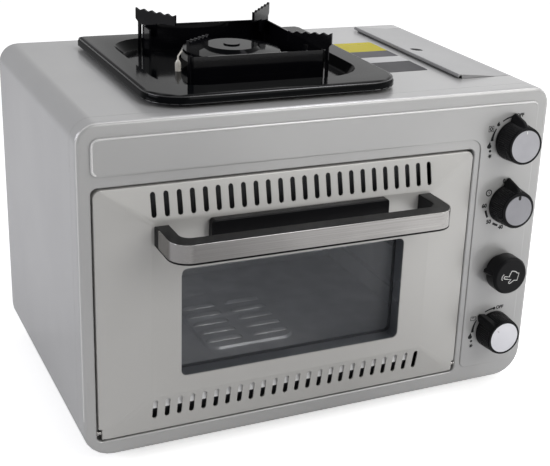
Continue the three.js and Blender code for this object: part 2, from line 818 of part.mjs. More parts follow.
// Oven floor: a plate on two turned-down edges, with a raised slotted hood over the burner
function ovenFloorPlate() {
  const [x0, x1] = [cavityLeft + floorPlateGap, cavityRight - floorPlateGap];
  const [y0, y1] = [linerFront + floorPlateFrontGap, cavityBack - floorPlateGap];
  const low = cavityBottom + seat;
  const channel = block([x0, y0, low], [x1, y1, floorPlateZ])
    .subtract(block([x0 - overrun, y0 + linerSheet, low - overrun],
      [x1 + overrun, y1 - linerSheet, floorPlateZ - linerSheet]));
  const hoodAt = (inset, low, top) => loft('z', [
    { at: low, shape: hoodOutline(inset) },
    { at: floorPlateZ - linerSheet, shape: hoodOutline(inset) },
    { at: top, shape: hoodOutline(inset + floorHoodHeight) },
  ]);
  const hoodTop = floorPlateZ + floorHoodHeight;
  const slots = [];
  for (let row = 0; row < floorSlotRows; row += 1) {
    for (let column = 0; column < floorSlotColumns; column += 1) {
      const x = floorHoodX + (column - (floorSlotColumns - 1) / 2) * floorSlotColumnSpacing;
      const y = linerFront + floorHoodFront + floorHoodDepth / 2 - floorSlotShift
        + (row - (floorSlotRows - 1) / 2) * floorSlotRowSpacing;
      const slot = roundedShape(x - floorSlotLength / 2, y - floorSlotWidth / 2, x + floorSlotLength / 2,
        y + floorSlotWidth / 2, floorSlotWidth / 2 - roundEndFlat);
      slots.push(prism('z', slot, floorPlateZ - overrun, hoodTop + overrun, 0, fineSteps));
    }
  }
  const hood = hoodAt(0, floorPlateZ - linerSheet - linerSheet, hoodTop);
  const hoodInside = hoodAt(linerSheet, floorPlateZ - overrun, hoodTop - linerSheet);
  const plate = channel.subtract(prism('z', hoodOutline(linerSheet), floorPlateZ - overrun,
    floorPlateZ + overrun)).add(hood.subtract(hoodInside));
  return cutAll(plate, slots);
}

function hoodOutline(inset) {
  const [x, y] = [floorHoodX, linerFront + floorHoodFront];
  const side = floorHoodWidth / 2 - inset;
  return roundedShape(x - side, y + inset, x + side, y + floorHoodDepth - inset, floorHoodRadius);
}
add('oven_floor_plate', ovenFloorPlate(), 'plainSteel');

// Oven burner: one bent tube, open at the mouth that faces the gas nozzle
function ovenBurner() {
  const mouth = cavityRight + ovenBurnerMouth;
  const tube = pipe([
    [mouth, ovenBurnerY, ovenBurnerZ],
    [doorCentreX, ovenBurnerY, ovenBurnerZ],
    [doorCentreX, ovenBurnerY + ovenBurnerRun, ovenBurnerZ],
  ], ovenBurnerRadius, ovenBurnerBend, tubeSides);
  return tube.subtract(roundBar('x', ovenBurnerBore, ovenBurnerY, ovenBurnerZ,
    mouth - ovenBurnerBoreDepth, mouth + overrun, smallSides));
}
add('oven_burner', ovenBurner(), 'plainSteel');

// Wire rack on the top rails: a bent frame with straight wires across it
function wireRack() {
  const z = railHeights.at(-1) + seat + rackFrameRadius;
  const inset = rackSideGap + rackFrameRadius;
  const [x0, x1] = [cavityLeft + inset, cavityRight - inset];
  const [y0, y1] = [linerFront + rackFrontGap, cavityBack - rackBackGap];
  const outline = (grow) => roundedShape(x0 - grow, y0 - grow, x1 + grow, y1 + grow,
    rackCornerRadius + grow);
  const band = (grow, lift) => prism('z', outline(grow), z - lift, z + lift);
  const flat = rackFrameRadius * Math.SQRT1_2;
  const frame = band(rackFrameRadius, flat / 2).add(band(flat / 2, rackFrameRadius))
    .subtract(prism('z', outline(-flat), z - overrun, z + overrun));
  const count = Math.floor((x1 - x0) / rackWireSpacing);
  const wires = Array.from({ length: count }, (_, i) => {
    const x = (x0 + x1) / 2 + (i - (count - 1) / 2) * rackWireSpacing;
    return roundBar('y', rackWireRadius, x, z, y0, y1, pipeSides);
  });
  return joinAll([frame, ...wires]);
}
add('wire_rack', wireRack(), 'chromeWire');

// Door skin: a shallow hipped tray with cooling slots, the window and the hinge notches
function doorSkin() {
  const field = roundedShape(doorLeft + doorBandSide, doorBottom + doorBandBottom,
    doorRight - doorBandSide, doorTop - doorBandTop, doorFieldRadius);
  const shell = (inset, back, lift) => loft('y', [
    { at: back, shape: doorOutline(inset) },
    { at: doorEdgeSoftness - doorEdgeProud + lift, shape: doorOutline(inset) },
    { at: doorEdgeSoftness * roundedEdgeShare - doorEdgeProud + lift,
      shape: doorOutline(inset + doorEdgeSoftness * roundedEdgeShare) },
    { at: lift - doorEdgeProud, shape: doorOutline(inset + doorEdgeSoftness) },
    { at: lift - doorFaceProud, shape: field },
  ]);
  const slots = [[doorTop - upperSlotDrop, upperSlotLength], [doorBottom + lowerSlotRise, lowerSlotLength]]
    .flatMap(([low, length]) => ventRow('y', slotCount, slotSpacing, slotWidth, doorCentreX, low,
      low + length, -doorFaceProud - overrun, overrun));
  const notches = [[doorLeft - overrun, doorLeft + hingeNotchWidth],
    [doorRight - hingeNotchWidth, doorRight + overrun]]
    .map(([from, to]) => block([from, -doorFaceProud, doorBottom - overrun],
      [to, doorReturnDepth + overrun, hingeNotchTop]));
  const shortReturn = block([doorLeft - overrun, doorLowerReturnDepth, doorBottom - overrun],
    [doorRight + overrun, doorReturnDepth + overrun, hingeNotchTop]);
  const skin = cutAll(shell(0, doorReturnDepth, 0).subtract(
    shell(sheet, doorReturnDepth + overrun, sheet)), [
    ...slots, ...notches, shortReturn,
    prism('y', windowOutline(0), -doorFaceProud - overrun, overrun),
  ]);
  const ears = [[doorLeft + hingeNotchWidth, 1], [doorRight - hingeNotchWidth, -1]].map(([x, side]) => {
    const [from, to] = side > 0 ? [x, x + sheet] : [x - sheet, x];
    return block([from, sheet / 2 - doorEdgeProud, doorBottom + sheet / 2],
      [to, doorLowerReturnDepth, hingeNotchTop]).subtract(roundBar('x', hingePinRadius + seat, hingeY,
      hingeZ, x - overrun, x + overrun, smallSides));
  });
  return joinAll([skin, ...ears]);
}
add('door_skin', doorSkin(), 'doorPaint');

// Hinge pins: each passes from the case's drawn edge through the door's ear
function hingePin(side) {
  const wallX = side < 0 ? openingLeft : openingRight;
  const edge = side < 0 ? doorLeft : doorRight;
  const inner = edge - side * (hingeNotchWidth + sheet + hingePinTail);
  const outer = wallX + side * (sheet + seat + hingePinHead);
  const shank = roundBar('x', hingePinRadius, hingeY, hingeZ, Math.min(inner, outer),
    Math.max(inner, outer), smallSides);
  const collarAt = [wallX - side * seat, wallX - side * (seat + hingePinHead)];
  return shank.add(roundBar('x', hingeCollarRadius, hingeY, hingeZ, Math.min(...collarAt),
    Math.max(...collarAt), smallSides));
}
add('door_hinge_pin_left', hingePin(-1), 'brushedSteel');
add('door_hinge_pin_right', hingePin(1), 'brushedSteel');

// Window frame: a black tunnel from the back of the skin to the glass
const frameFront = -doorFaceProud + sheet + seat;
const glassFront = windowDepth - doorFaceProud + sheet;
function windowFrame() {
  const back = glassFront - seat;
  const lips = prism('y', windowOutline(windowFrameLip), frameFront, frameFront + sheet)
    .add(prism('y', windowOutline(windowFrameLip), back - sheet, back));
  return lips.add(prism('y', windowOutline(windowFrameWall), frameFront, back))
    .subtract(prism('y', windowOutline(0), frameFront - overrun, back + overrun));
}
add('window_frame', windowFrame(), 'blackFrame');
add('door_glass', prism('y', windowOutline(glassOverlap), glassFront, glassFront + glassThickness),
  'glass');

// Inner door panel: a shallow tray that holds the glass against the frame
const innerPanelFront = glassFront + glassThickness + seat;
function doorInnerPanel() {
  const side = doorWidth / 2 - sheet - innerPanelSideGap;
  const bottom = doorBottom + innerPanelBottomGap;
  const outline = (inset) => roundedShape(doorCentreX - side + inset, bottom + inset,
    doorCentreX + side - inset, doorTop - sheet - seat - inset, innerPanelRadius);
  const back = innerPanelFront + sheet;
  return cutAll(prism('y', outline(0), back - innerPanelFold, back), [
    prism('y', outline(sheet), back - innerPanelFold - overrun, innerPanelFront),
    prism('y', windowOutline(0), innerPanelFront - overrun, back + overrun),
  ]);
}
add('door_inner_panel', doorInnerPanel(), 'plainSteel');

// Handle grip: a bow in plan; the metal cover lies in a rebate round its outside
function bowShape(outerInset) {
  const [left, right] = [doorLeft + handleInset, doorRight - handleInset];
  const face = -doorFaceProud - seat;
  const front = -doorFaceProud - handleReach;
  const quarter = Math.PI / 2;
  const [r, s] = [handleOuterRadius, handleInnerRadius];
  const [a, b, c] = [left + outerInset, right - outerInset, front + outerInset];
  const [d, e, f] = [left + handleLegWidth, right - handleLegWidth, front + handleDepth];
  const shape = new THREE.Shape();
  shape.moveTo(a, face);
  shape.lineTo(a, front + r);
  shape.absarc(left + r, front + r, r - outerInset, 2 * quarter, 3 * quarter);
  shape.lineTo(right - r, c);
  shape.absarc(right - r, front + r, r - outerInset, 3 * quarter, 4 * quarter);
  shape.lineTo(b, face);
  shape.lineTo(e, face);
  shape.lineTo(e, f + s);
  shape.absarc(e - s, f + s, s, 0, -quarter, true);
  shape.lineTo(d + s, f);
  shape.absarc(d + s, f + s, s, 3 * quarter, 2 * quarter, true);
  shape.lineTo(d, face);
  return shape;
}

const handleTop = handleBottom + handleHeight;
const handleFront = -doorFaceProud - handleReach;
const handleZone = (grow) => block(
  [-half, handleFront - overrun, handleBottom + coverLift - grow],
  [half, -doorFaceProud - coverStart + grow, handleTop + overrun]);

function handleGrip() {
  const rebate = prism('z', bowShape(-overrun), handleBottom, handleTop + overrun)
    .subtract(prism('z', bowShape(coverThickness + seat), handleBottom - overrun,
      handleTop + overrun));
  return prism('z', bowShape(0), handleBottom, handleTop, handleEdge)
    .subtract(rebate.intersect(handleZone(seat)));
}
add('handle_grip', handleGrip(), 'blackPlastic');

function handleCover() {
  const skin = prism('z', bowShape(0), handleBottom, handleTop)
    .subtract(prism('z', bowShape(coverThickness), handleBottom - overrun, handleTop + overrun));
  return skin.intersect(handleZone(0));
}
add('handle_cover', handleCover(), 'brushedSteel');

function guardBar() {
  const back = -doorFaceProud - seat;
  const top = doorTop - doorBandTop;
  return prism('y', roundedShape(doorLeft + guardBarInset, top - guardBarHeight,
    doorRight - guardBarInset, top, guardBarRadius), back - guardBarThickness, back, handleEdge);
}
add('handle_guard_bar', guardBar(), 'blackPlastic');

// Knobs: a tapered turned body with a full-length pointer ridge and a silver face disc
const knobBack = -embossHeight - knobGap;
const knobFace = knobBack - knobLength;

function pointerRidge(tips, from, to, turn, z) {
  const outline = (reach) => {
    const points = [[-pointerHalfWidth, stemRadius], [pointerHalfWidth, stemRadius],
      [pointerHalfWidth, reach - pointerHalfWidth], [pointerTipHalfWidth, reach],
      [-pointerTipHalfWidth, reach], [-pointerHalfWidth, reach - pointerHalfWidth]];
    return polygon(points.map(([u, v]) => [
      knobX + u * Math.cos(turn) - v * Math.sin(turn),
      z + u * Math.sin(turn) + v * Math.cos(turn)]));
  };
  const places = [from, from + pointerNoseLength, to];
  return loft('y', places.map((at, i) => ({ at, shape: outline(tips[i]) })));
}

function knob(z, turn, flatRim) {
  const rim = knobFaceRadius - flatRim;
  const body = turned('y', [
    [0, knobFace + knobDiscThickness + seat], [rim, knobFace + knobDiscThickness + seat],
    [rim, knobFace], [knobFaceRadius, knobFace + knobFlatRim / 2],
    [knobBaseRadius - knobFlatRim / 2, knobBack - knobSkirt], [knobBaseRadius, knobBack], [0, knobBack],
  ], [knobX, 0, z]);
  const ridge = pointerRidge([pointerFaceTip, pointerNoseTip, pointerTip],
    knobFace + pointerEndInset, knobBack, degrees(turn), z);
  return body.add(ridge).subtract(roundBar('y', stemRadius + seat, knobX, z, knobBack - stemDepth,
    knobBack + overrun, smallSides));
}

function knobDisc(z, flatRim) {
  const radius = knobFaceRadius - flatRim - seat;
  return roundBar('y', radius, knobX, z, knobFace, knobFace + knobDiscThickness);
}

const stemBack = panelInside + stemReach;
function stem(z) {
  return roundBar('y', stemRadius, knobX, z, knobBack - stemDepth + seat, stemBack, smallSides);
}

const knobSet = [
  ['hob', hobZ, 0, knobFlatRim], ['timer', timerZ, 0, timerRim],
  ['oven', ovenZ, ovenKnobTurn, knobFlatRim],
];
for (const [name, z, turn, flatRim] of knobSet) {
  add(`knob_${name}`, knob(z, turn, flatRim), 'blackPlastic');
  add(`knob_${name}_disc`, knobDisc(z, flatRim), 'discSilver');
  add(`knob_${name}_stem`, stem(z), 'brass');
}

// Safety button: a hollow push cap that stands off the panel over a fixed collar
const buttonBack = -embossHeight - safetyStandOff;
const buttonFace = buttonBack - safetyButtonLength;
const safetySocketFront = buttonFace + safetyButtonEdge;
function safetyButton() {
  const bevel = safetyButtonBevel;
  const [radius, hollowFront] = [safetyButtonRadius, buttonBack - safetyHollowDepth];
  const cap = turned('y', [
    [0, buttonFace], [radius - safetyButtonEdge, buttonFace], [radius - bevel, buttonFace + bevel / 2],
    [radius, buttonFace + safetyButtonEdge], [radius, buttonBack], [safetyHollowRadius, buttonBack],
    [safetyHollowRadius, hollowFront], [0, hollowFront],
  ], [knobX, 0, safetyZ]);
  const ridge = pointerRidge([radius, safetyPointerNose, safetyPointerTip],
    buttonFace + safetyRidgeInset, buttonBack, degrees(safetyPointerTurn), safetyZ);
  const hollow = roundBar('y', safetyHollowRadius, knobX, safetyZ, hollowFront, buttonBack + overrun);
  const socket = roundBar('y', stemRadius + seat, knobX, safetyZ, safetySocketFront,
    buttonBack + overrun, smallSides);
  return cap.add(ridge.subtract(hollow)).subtract(socket);
}
add('safety_button', safetyButton(), 'blackPlastic');
add('safety_plunger', roundBar('y', stemRadius, knobX, safetyZ, safetySocketFront + seat, stemBack,
  smallSides), 'brass');

// The fixed collar ends short of the cap's hollow by the button's stroke
function safetyCollar() {
  const front = buttonBack - safetyHollowDepth + seat + safetyStroke + seat;
  return roundBar('y', safetyCollarRadius, knobX, safetyZ, front, -embossHeight - seat)
    .subtract(roundBar('y', stemRadius + seat, knobX, safetyZ, front - overrun, overrun, smallSides));
}
add('safety_collar', safetyCollar(), 'blackPlastic');

// Gas gear behind the panel
function valve(z, length) {
  const front = panelInside + seat;
  const flange = prism('y', roundedShape(knobX - valveFlangeWidth / 2, z - valveFlangeHeight / 2,
    knobX + valveFlangeWidth / 2, z + valveFlangeHeight / 2, timerEdge), front,
  front + valveFlangeThickness, 0, fineSteps);
  return flange.add(roundBar('y', valveRadius, knobX, z, front, front + length))
    .subtract(roundBar('y', stemRadius + seat, knobX, z, front - overrun, stemBack + seat, smallSides));
}
const valveBack = panelInside + seat + valveLength;
const hobValveLength = valveLength - regulatorLength;
const regulatorFront = panelInside + seat + hobValveLength + seat;
const regulatorBack = regulatorFront + regulatorLength;
add('hob_valve', valve(hobZ, hobValveLength), 'castAlloy');
add('oven_valve', valve(ovenZ, valveLength), 'castAlloy');

function timerCase() {
  const front = panelInside + seat;
  return prism('y', roundedShape(knobX - timerSize / 2, timerZ - timerSize / 2, knobX + timerSize / 2,
    timerZ + timerSize / 2, timerEdge), front, front + timerDepth, 0, fineSteps)
    .subtract(roundBar('y', stemRadius + seat, knobX, timerZ, front - overrun, stemBack + seat,
      smallSides));
}
add('timer_case', timerCase(), 'castAlloy');

function safetyValve() {
  const front = panelInside + seat;
  return roundBar('y', safetyValveRadius, knobX, safetyZ, front, front + safetyValveLength)
    .subtract(roundBar('y', stemRadius + seat, knobX, safetyZ, front - overrun,
      stemBack + safetyStroke + seat, smallSides));
}
add('safety_valve', safetyValve(), 'brass');

function gasRegulator() {
  const back = regulatorBack;
  return roundBar('y', regulatorRadius, knobX, hobZ, regulatorFront, back)
    .add(roundBar('y', regulatorSocketRadius, knobX, hobZ, back, back + regulatorSocketLength))
    .subtract(roundBar('y', regulatorSocketBore, knobX, hobZ, back - regulatorSocketLength / 2,
      back + regulatorSocketLength + overrun, smallSides));
}
add('gas_regulator', gasRegulator(), 'castAlloy');

// Pipes: regulator to safety valve to oven valve to oven burner, and hob valve to hob burner
const regulatorY = regulatorBack - pipeRadius;
add('manifold_pipe', pipe([
  [knobX, regulatorY, hobZ - regulatorRadius - seat],
  [knobX, regulatorY, safetyZ + knobSpacing],
  [knobX, regulatorY, safetyZ + safetyValveRadius + seat],
], pipeRadius, pipeBend), 'brass');
add('oven_gas_pipe', pipe([
  [knobX, pipeY, safetyZ - safetyValveRadius - seat],
  [knobX, pipeY, ovenZ + knobSpacing / 2],
  [knobX, pipeY, ovenZ + valveRadius + seat],
], pipeRadius, pipeBend), 'brass');
add('burner_feed_pipe', pipe([
  [knobX, valveBack + seat, ovenZ],
  [knobX, ovenBurnerY, ovenZ],
  [knobX, ovenBurnerY, ovenBurnerZ],
  [cavityRight + ovenBurnerMouth - ovenBurnerBoreDepth / 2, ovenBurnerY, ovenBurnerZ],
], pipeRadius, pipeBend), 'brass');

const alongMixTube = (reach) => [
  hobX + reach * Math.cos(mixTurn), hobY + reach * Math.sin(mixTurn), mixTubeZ];
add('hob_gas_pipe', pipe([
  [knobX, pipeY, hobZ + regulatorRadius + seat],
  [knobX, pipeY, mixTubeZ],
  [gasPipeCornerX, pipeY, mixTubeZ],
  alongMixTube(mixTubeReach - ovenBurnerBoreDepth / 2),
], pipeRadius, hobPipeBend), 'brass');
add('thermocouple', pipe([
  [knobX, panelInside + seat + safetyValveLength + seat, safetyZ],
  [knobX, thermocoupleY, safetyZ],
  [(partitionX + cavityRight) / 2, thermocoupleY, safetyZ],
  [(partitionX + cavityRight) / 2, thermocoupleY, thermocoupleZ],
  [cavityRight - ovenBurnerMouth, thermocoupleY, thermocoupleZ],
], thermocoupleRadius, thermocoupleBend), 'brass');

// Canister tray: an open trough whose front wall has the neck opening, with ears for the lid's pin
function canisterTray() {
  const [x0, x1] = [trayLeft, half - trayRightGap];
  const [y0, y1] = [lidFront + trayInset, lidBack - trayInset];
  const top = caseHeight - sheet - seat;
  const trough = block([x0, y0, trayBottom], [x1, y1, top])
    .subtract(block([x0 + sheet, y0 + sheet, trayBottom + sheet], [x1 - sheet, y1 - sheet, top + overrun]));
  const rightCut = block([x1 - sheet - overrun, y0 - overrun, lidPinZ - trayEarRadius / 2],
    [x1 + overrun, y1 + overrun, top + overrun]);
  const endCut = block([x0 + trayEndCutRun, y0 - overrun, lidPinZ + trayEarRadius],
    [x1 + overrun, y1 + overrun, top + overrun]);
  const neck = roundBar('y', trayNeckRadius, knobX, hobZ, y0 - overrun, y0 + sheet + overrun);
  const ears = [y0, y1 - sheet].map((y) => prism('y', polygon([
    [x1 - trayEarRadius, lidPinZ - trayEarDrop], [lidPinX, lidPinZ - lidEarRadius],
    [lidPinX + lidEarRadius, lidPinZ], [lidPinX, lidPinZ + lidEarRadius],
    [x1 - trayEarRadius, lidPinZ + lidEarRadius]]), y, y + sheet));
  return cutAll(joinAll([cutAll(trough, [rightCut, endCut]), ...ears]), [
    neck,
    roundBar('y', lidPinRadius + seat, lidPinX, lidPinZ, y0 - overrun, y1 + overrun, pipeSides),
  ]);
}
add('canister_tray', canisterTray(), 'plainSteel');
add('lid_hinge_pin', roundBar('y', lidPinRadius, lidPinX, lidPinZ, lidFront, lidBack, pipeSides),
  'brushedSteel');

// Canister lid: raised along its left edge, flush over the case's rounded corner, down the side
function lidProfile(inset, low) {
  const [left, right] = [lidLeft + inset, half - inset];
  const top = caseHeight - inset;
  const radius = topCornerRadius - inset;
  const shape = new THREE.Shape();
  shape.moveTo(left, low);
  shape.lineTo(left, top + lidRaise - sheet);
  shape.lineTo(left + sheet, top + lidRaise);
  shape.lineTo(lidLeft + lidRampRun, top);
  shape.lineTo(right - radius, top);
  shape.absarc(right - radius, top - radius, radius, Math.PI / 2, 0, true);
  shape.lineTo(right, low);
  return shape;
}

function canisterLid() {
  const sideLow = caseHeight - lidSideDrop;
  const shell = prism('y', lidProfile(0, sideLow), lidFront, lidBack)
    .subtract(prism('y', lidProfile(sheet, sideLow - overrun), lidFront - overrun, lidBack + overrun))
    .subtract(block([lidLeft - overrun, lidFront - overrun, sideLow - overrun],
      [lidLeft + sheet + seat, lidBack + overrun, caseHeight + lidEdgeGap]));
  const endLeft = lidLeft + lidOverlap + lidGap;
  const ear = lidEarRadius;
  const notchLeft = lidPinX - lidEarNotchDepth;
  const endShape = polygon([
    [endLeft, caseHeight - lidEndDepth], [notchLeft - lidEndDepth, caseHeight - lidEndDepth - sheet],
    [notchLeft - ear, lidPinZ - ear / 2], [lidPinX - ear / 2, lidPinZ - ear],
    [lidPinX + ear / 2, lidPinZ - ear], [lidPinX + ear, lidPinZ - ear / 2],
    [lidPinX + ear, lidPinZ + ear / 2], [lidPinX + ear / 2, lidPinZ + ear],
    [notchLeft, lidPinZ + ear], [notchLeft, lidPinZ + lidEarNotchTop],
    [half - sheet, lidPinZ + lidEarNotchTop], [half - sheet, caseHeight - topCornerRadius],
    [half - topCornerRadius * cornerShare, caseHeight - topCornerRadius * cornerShare],
    [half - topCornerRadius, caseHeight - sheet / 2], [lidLeft + lidRampRun, caseHeight - sheet / 2],
    [endLeft, caseHeight + lidRaise - sheet],
  ]);
  const ends = [lidFront, lidBack - sheet].map((y) => prism('y', endShape, y, y + sheet));
  const holeLeft = lidLeft + lidHoleInset;
  const middle = (lidFront + lidBack) / 2;
  const holeShape = roundedShape(holeLeft, middle - lidHoleLength / 2, holeLeft + lidHoleWidth,
    middle + lidHoleLength / 2, lidHoleLength / 2 - roundEndFlat);
  const hole = prism('z', holeShape, caseHeight - overrun, caseHeight + lidRaise + overrun);
  return cutAll(joinAll([shell, ...ends]), [
    hole,
    roundBar('y', lidPinRadius + seat, lidPinX, lidPinZ, lidFront - overrun, lidBack + overrun,
      pipeSides),
  ]);
}
add('canister_lid', canisterLid(), 'bodyPaint');

// Drip pan: a rolled outer edge, a flat rim and a rounded well with the burner hole
function dripPan() {
  const outline = (inset) => {
    const [front, rear] = [panFrontRadius - inset, Math.max(panRearRadius - inset, panWall)];
    return roundedShape(hobX - panWidth / 2 + inset, panFrontY + inset, hobX + panWidth / 2 - inset,
      panFrontY + panDepth - inset, [front, front, rear, rear]);
  };
  const [wellHalf, wellFront] = [panWidth / 2 - wellSideInset, panFrontY + wellFrontInset];
  const wellBack = panFrontY + panDepth - wellBackInset;
  const well = (inset) => roundedShape(hobX - wellHalf + inset, wellFront + inset,
    hobX + wellHalf - inset, wellBack - inset, wellRadius);
  const low = caseHeight + panSkirtLift;
  const top = caseHeight + panHeight;
  const edge = panEdgeRadius;
  const outside = (inset, bottom) => loft('z', [
    { at: bottom, shape: outline(inset) },
    { at: top - edge - inset, shape: outline(inset) },
    { at: top - edge * roundedEdgeShare - inset, shape: outline(inset + edge * roundedEdgeShare) },
    { at: top - inset, shape: outline(inset + edge) },
  ]);
  const floor = caseHeight + wellFloor;
  const wellBody = (grow, bottom, rim) => loft('z', [
    { at: bottom, shape: well(wellSpread - grow) },
    { at: bottom + panWall, shape: well(wellSpread - panWall - grow) },
    { at: top, shape: well(-grow) },
    { at: rim, shape: well(-grow) },
  ]);
  const shell = outside(0, low).subtract(outside(panWall, low - overrun));
  const cup = wellBody(panWall, floor - panWall, top + seat)
    .intersect(outside(0, caseHeight - overrun));
  return cutAll(shell.add(cup), [
    wellBody(0, floor, top + overrun),
    roundBar('z', burnerNeckRadius + seat, hobX, hobY, caseHeight - overrun, floor + overrun),
    roundBar('z', electrodeRadius + seat, electrodeX, electrodeY, caseHeight - overrun,
      floor + overrun, smallSides),
  ]);
}
add('drip_pan', dripPan(), 'blackEnamel');

// Burner head: a cup with a flared rim and the mixing tube that reaches for the nozzle
function burnerHead() {
  const rim = caseHeight + burnerTop;
  const bottom = caseHeight - burnerCupDepth;
  const neckTop = caseHeight + burnerNeckTop;
  const [bore, inner] = [burnerNeckRadius - burnerWall, burnerRimRadius - burnerWall];
  const cup = turned('z', [
    [0, bottom], [burnerNeckRadius, bottom], [burnerNeckRadius, neckTop],
    [burnerRimRadius, caseHeight + burnerRimZ], [burnerRimRadius, rim], [inner, rim],
    [inner, caseHeight + burnerRimZ + burnerWall], [bore, neckTop + burnerWall],
    [bore, bottom + burnerWall], [0, bottom + burnerWall],
  ], [hobX, hobY, 0]);
  const bar = (radius, from, to) => {
    const geometry = new THREE.CylinderGeometry(radius, radius, to - from, smallSides);
    geometry.rotateZ(-Math.PI / 2);
    geometry.translate((from + to) / 2, 0, 0);
    geometry.rotateZ(mixTurn);
    geometry.translate(hobX, hobY, mixTubeZ);
    return solid(geometry);
  };
  return cup.add(bar(mixTubeRadius, bore, mixTubeReach))
    .subtract(bar(mixTubeBore, bore - overrun, mixTubeReach + overrun));
}
add('burner_head', burnerHead(), 'castAlloy');

// Burner cap: a domed disc with flame slots round its lower edge
function burnerCap() {
  const low = caseHeight + burnerTop + seat;
  const spigot = burnerRimRadius - burnerWall - seat;
  const cap = turned('z', [
    [0, low - capSpigotDepth], [spigot, low - capSpigotDepth], [spigot, low], [capRadius, low],
    [capRadius, low + capThickness], [capDomeRadius, low + capDomeHeight - capThickness],
    [capDomeRadius - capThickness, low + capDomeHeight], [capButtonRadius, low + capDomeHeight],
    [capButtonRadius, low + capDomeHeight + capButtonHeight], [0, low + capDomeHeight + capButtonHeight],
  ], [hobX, hobY, 0]);
  const slots = Array.from({ length: capSlotCount }, (_, i) => {
    const length = capSlotDepth + overrun;
    const geometry = new THREE.BoxGeometry(length, capSlotWidth, capSlotHeight + overrun);
    geometry.translate(capRadius + overrun - length / 2, 0, low + (capSlotHeight - overrun) / 2);
    geometry.rotateZ((2 * Math.PI * i) / capSlotCount);
    geometry.translate(hobX, hobY, 0);
    return solid(geometry);
  });
  return cutAll(cap, slots);
}
add('burner_cap', burnerCap(), 'blackEnamel');

// Igniter electrode: a ceramic body with a bent wire tip beside the burner
function igniterElectrode() {
  const top = caseHeight + electrodeHeight;
  const insulator = turned('z', [
    [0, caseHeight - electrodeDrop], [electrodeRadius, caseHeight - electrodeDrop],
    [electrodeRadius, top - electrodeRadius], [electrodeRadius / 2, top], [0, top],
  ], [electrodeX, electrodeY, 0], smallSides);
  const turn = degrees(electrodeTurn);
  const inward = (reach, lift) => [electrodeX - reach * Math.cos(turn), electrodeY - reach * Math.sin(turn),
    top + lift];
  const wire = pipe([
    inward(0, -electrodeRadius), inward(0, electrodeWireLength / 2),
    inward(electrodeWireLength / 2, electrodeWireLength),
  ], electrodeWireRadius, electrodeWireBend);
  return insulator.add(wire);
}
add('igniter_electrode', igniterElectrode(), 'ceramic');

// Wind guard: one bent strip on three sides, open towards the left
const guardLow = caseHeight + wellFloor + seat;
const guardHigh = guardLow + guardHeight;
const guardY = hobY + guardShift;
function windGuard() {
  const outline = (inset) => roundedShape(hobX - guardWidth / 2 + inset,
    guardY - guardDepth / 2 + inset, hobX + guardWidth / 2 - inset, guardY + guardDepth / 2 - inset,
    guardRadius);
  const strip = prism('z', outline(0), guardLow, guardHigh, 0, fineSteps)
    .subtract(prism('z', outline(guardWall), guardLow - overrun, guardHigh + overrun, 0, fineSteps));
  return strip.subtract(block(
    [hobX - guardWidth / 2 - overrun, guardY - guardDepth / 2 + guardReturn, guardLow - overrun],
    [hobX - guardWidth / 2 + guardWall + overrun, guardY + guardDepth / 2 - guardLeftRun,
      guardHigh + overrun]));
}
add('wind_guard', windGuard(), 'blackEnamel');

// Pot supports: upright plates on the guard's diagonals, with a wavy top and a foot outside
function potSupport(turn) {
  const corner = Math.hypot(guardWidth, guardDepth) / 2;
  const inner = supportInnerReach;
  const outer = corner + supportOverhang;
  const base = caseHeight;
  const topAt = (reach) => base + supportTop + (supportRise * (reach - inner)) / (outer - inner);
  const points = [];
  const waves = supportBumps * stepsPerBump;
  for (let i = 0; i <= waves; i += 1) {
    const reach = inner + ((outer - inner) * i) / waves;
    const lift = (supportBumpHeight / 2) * Math.cos((2 * Math.PI * supportBumps * i) / waves);
    points.push([reach, topAt(reach) + lift]);
  }
  const under = base + supportTop - supportDepth;
  const legOut = corner + supportLegWidth;
  const slotIn = corner - supportLegGap;
  points.push(
    [outer, under + supportRise], [legOut, under], [legOut, guardLow], [corner, guardLow],
    [corner, guardHigh + seat], [slotIn, guardHigh + seat], [slotIn, guardHigh - supportProngDrop],
    [slotIn - supportProngWidth, guardHigh - supportProngDrop], [slotIn - supportProngWidth, under],
    [inner, under],
  );
  const geometry = new THREE.ExtrudeGeometry(polygon(points), {
    depth: supportThickness, bevelEnabled: false });
  geometry.translate(0, 0, -supportThickness / 2);
  geometry.rotateX(Math.PI / 2);
  geometry.rotateZ(turn);
  geometry.translate(hobX, guardY, 0);
  return solid(geometry);
}
const diagonal = Math.atan2(guardDepth, guardWidth);
const supportTurns = {
  front_right: -diagonal, front_left: Math.PI + diagonal,
  rear_right: diagonal, rear_left: Math.PI - diagonal,
};
for (const [place, turn] of Object.entries(supportTurns)) {
  add(`pot_support_${place}`, potSupport(turn), 'blackEnamel');
}

// Stand the case on its feet, centred from the handle's front to the back panel
oven.position.set(0, (doorFaceProud + handleReach - caseDepth) / 2, footHeight);

const part = new THREE.Group();
part.add(oven);

export default part;
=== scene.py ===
# %% [markdown]
# A portable gas oven with a hob on top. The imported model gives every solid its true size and
# place, and this script dresses it: finishes, printed marks, small trim, light and camera.
# Everything is in metres in the model's own frame: X to the right, Y to the back, Z up, and
# the door faces -Y. Sizes below are written in millimetres and turned to metres with MM.

# %% Load the model
import json
from math import cos, pi, radians, sin

import bmesh
import bpy
from mathutils import Matrix, Vector


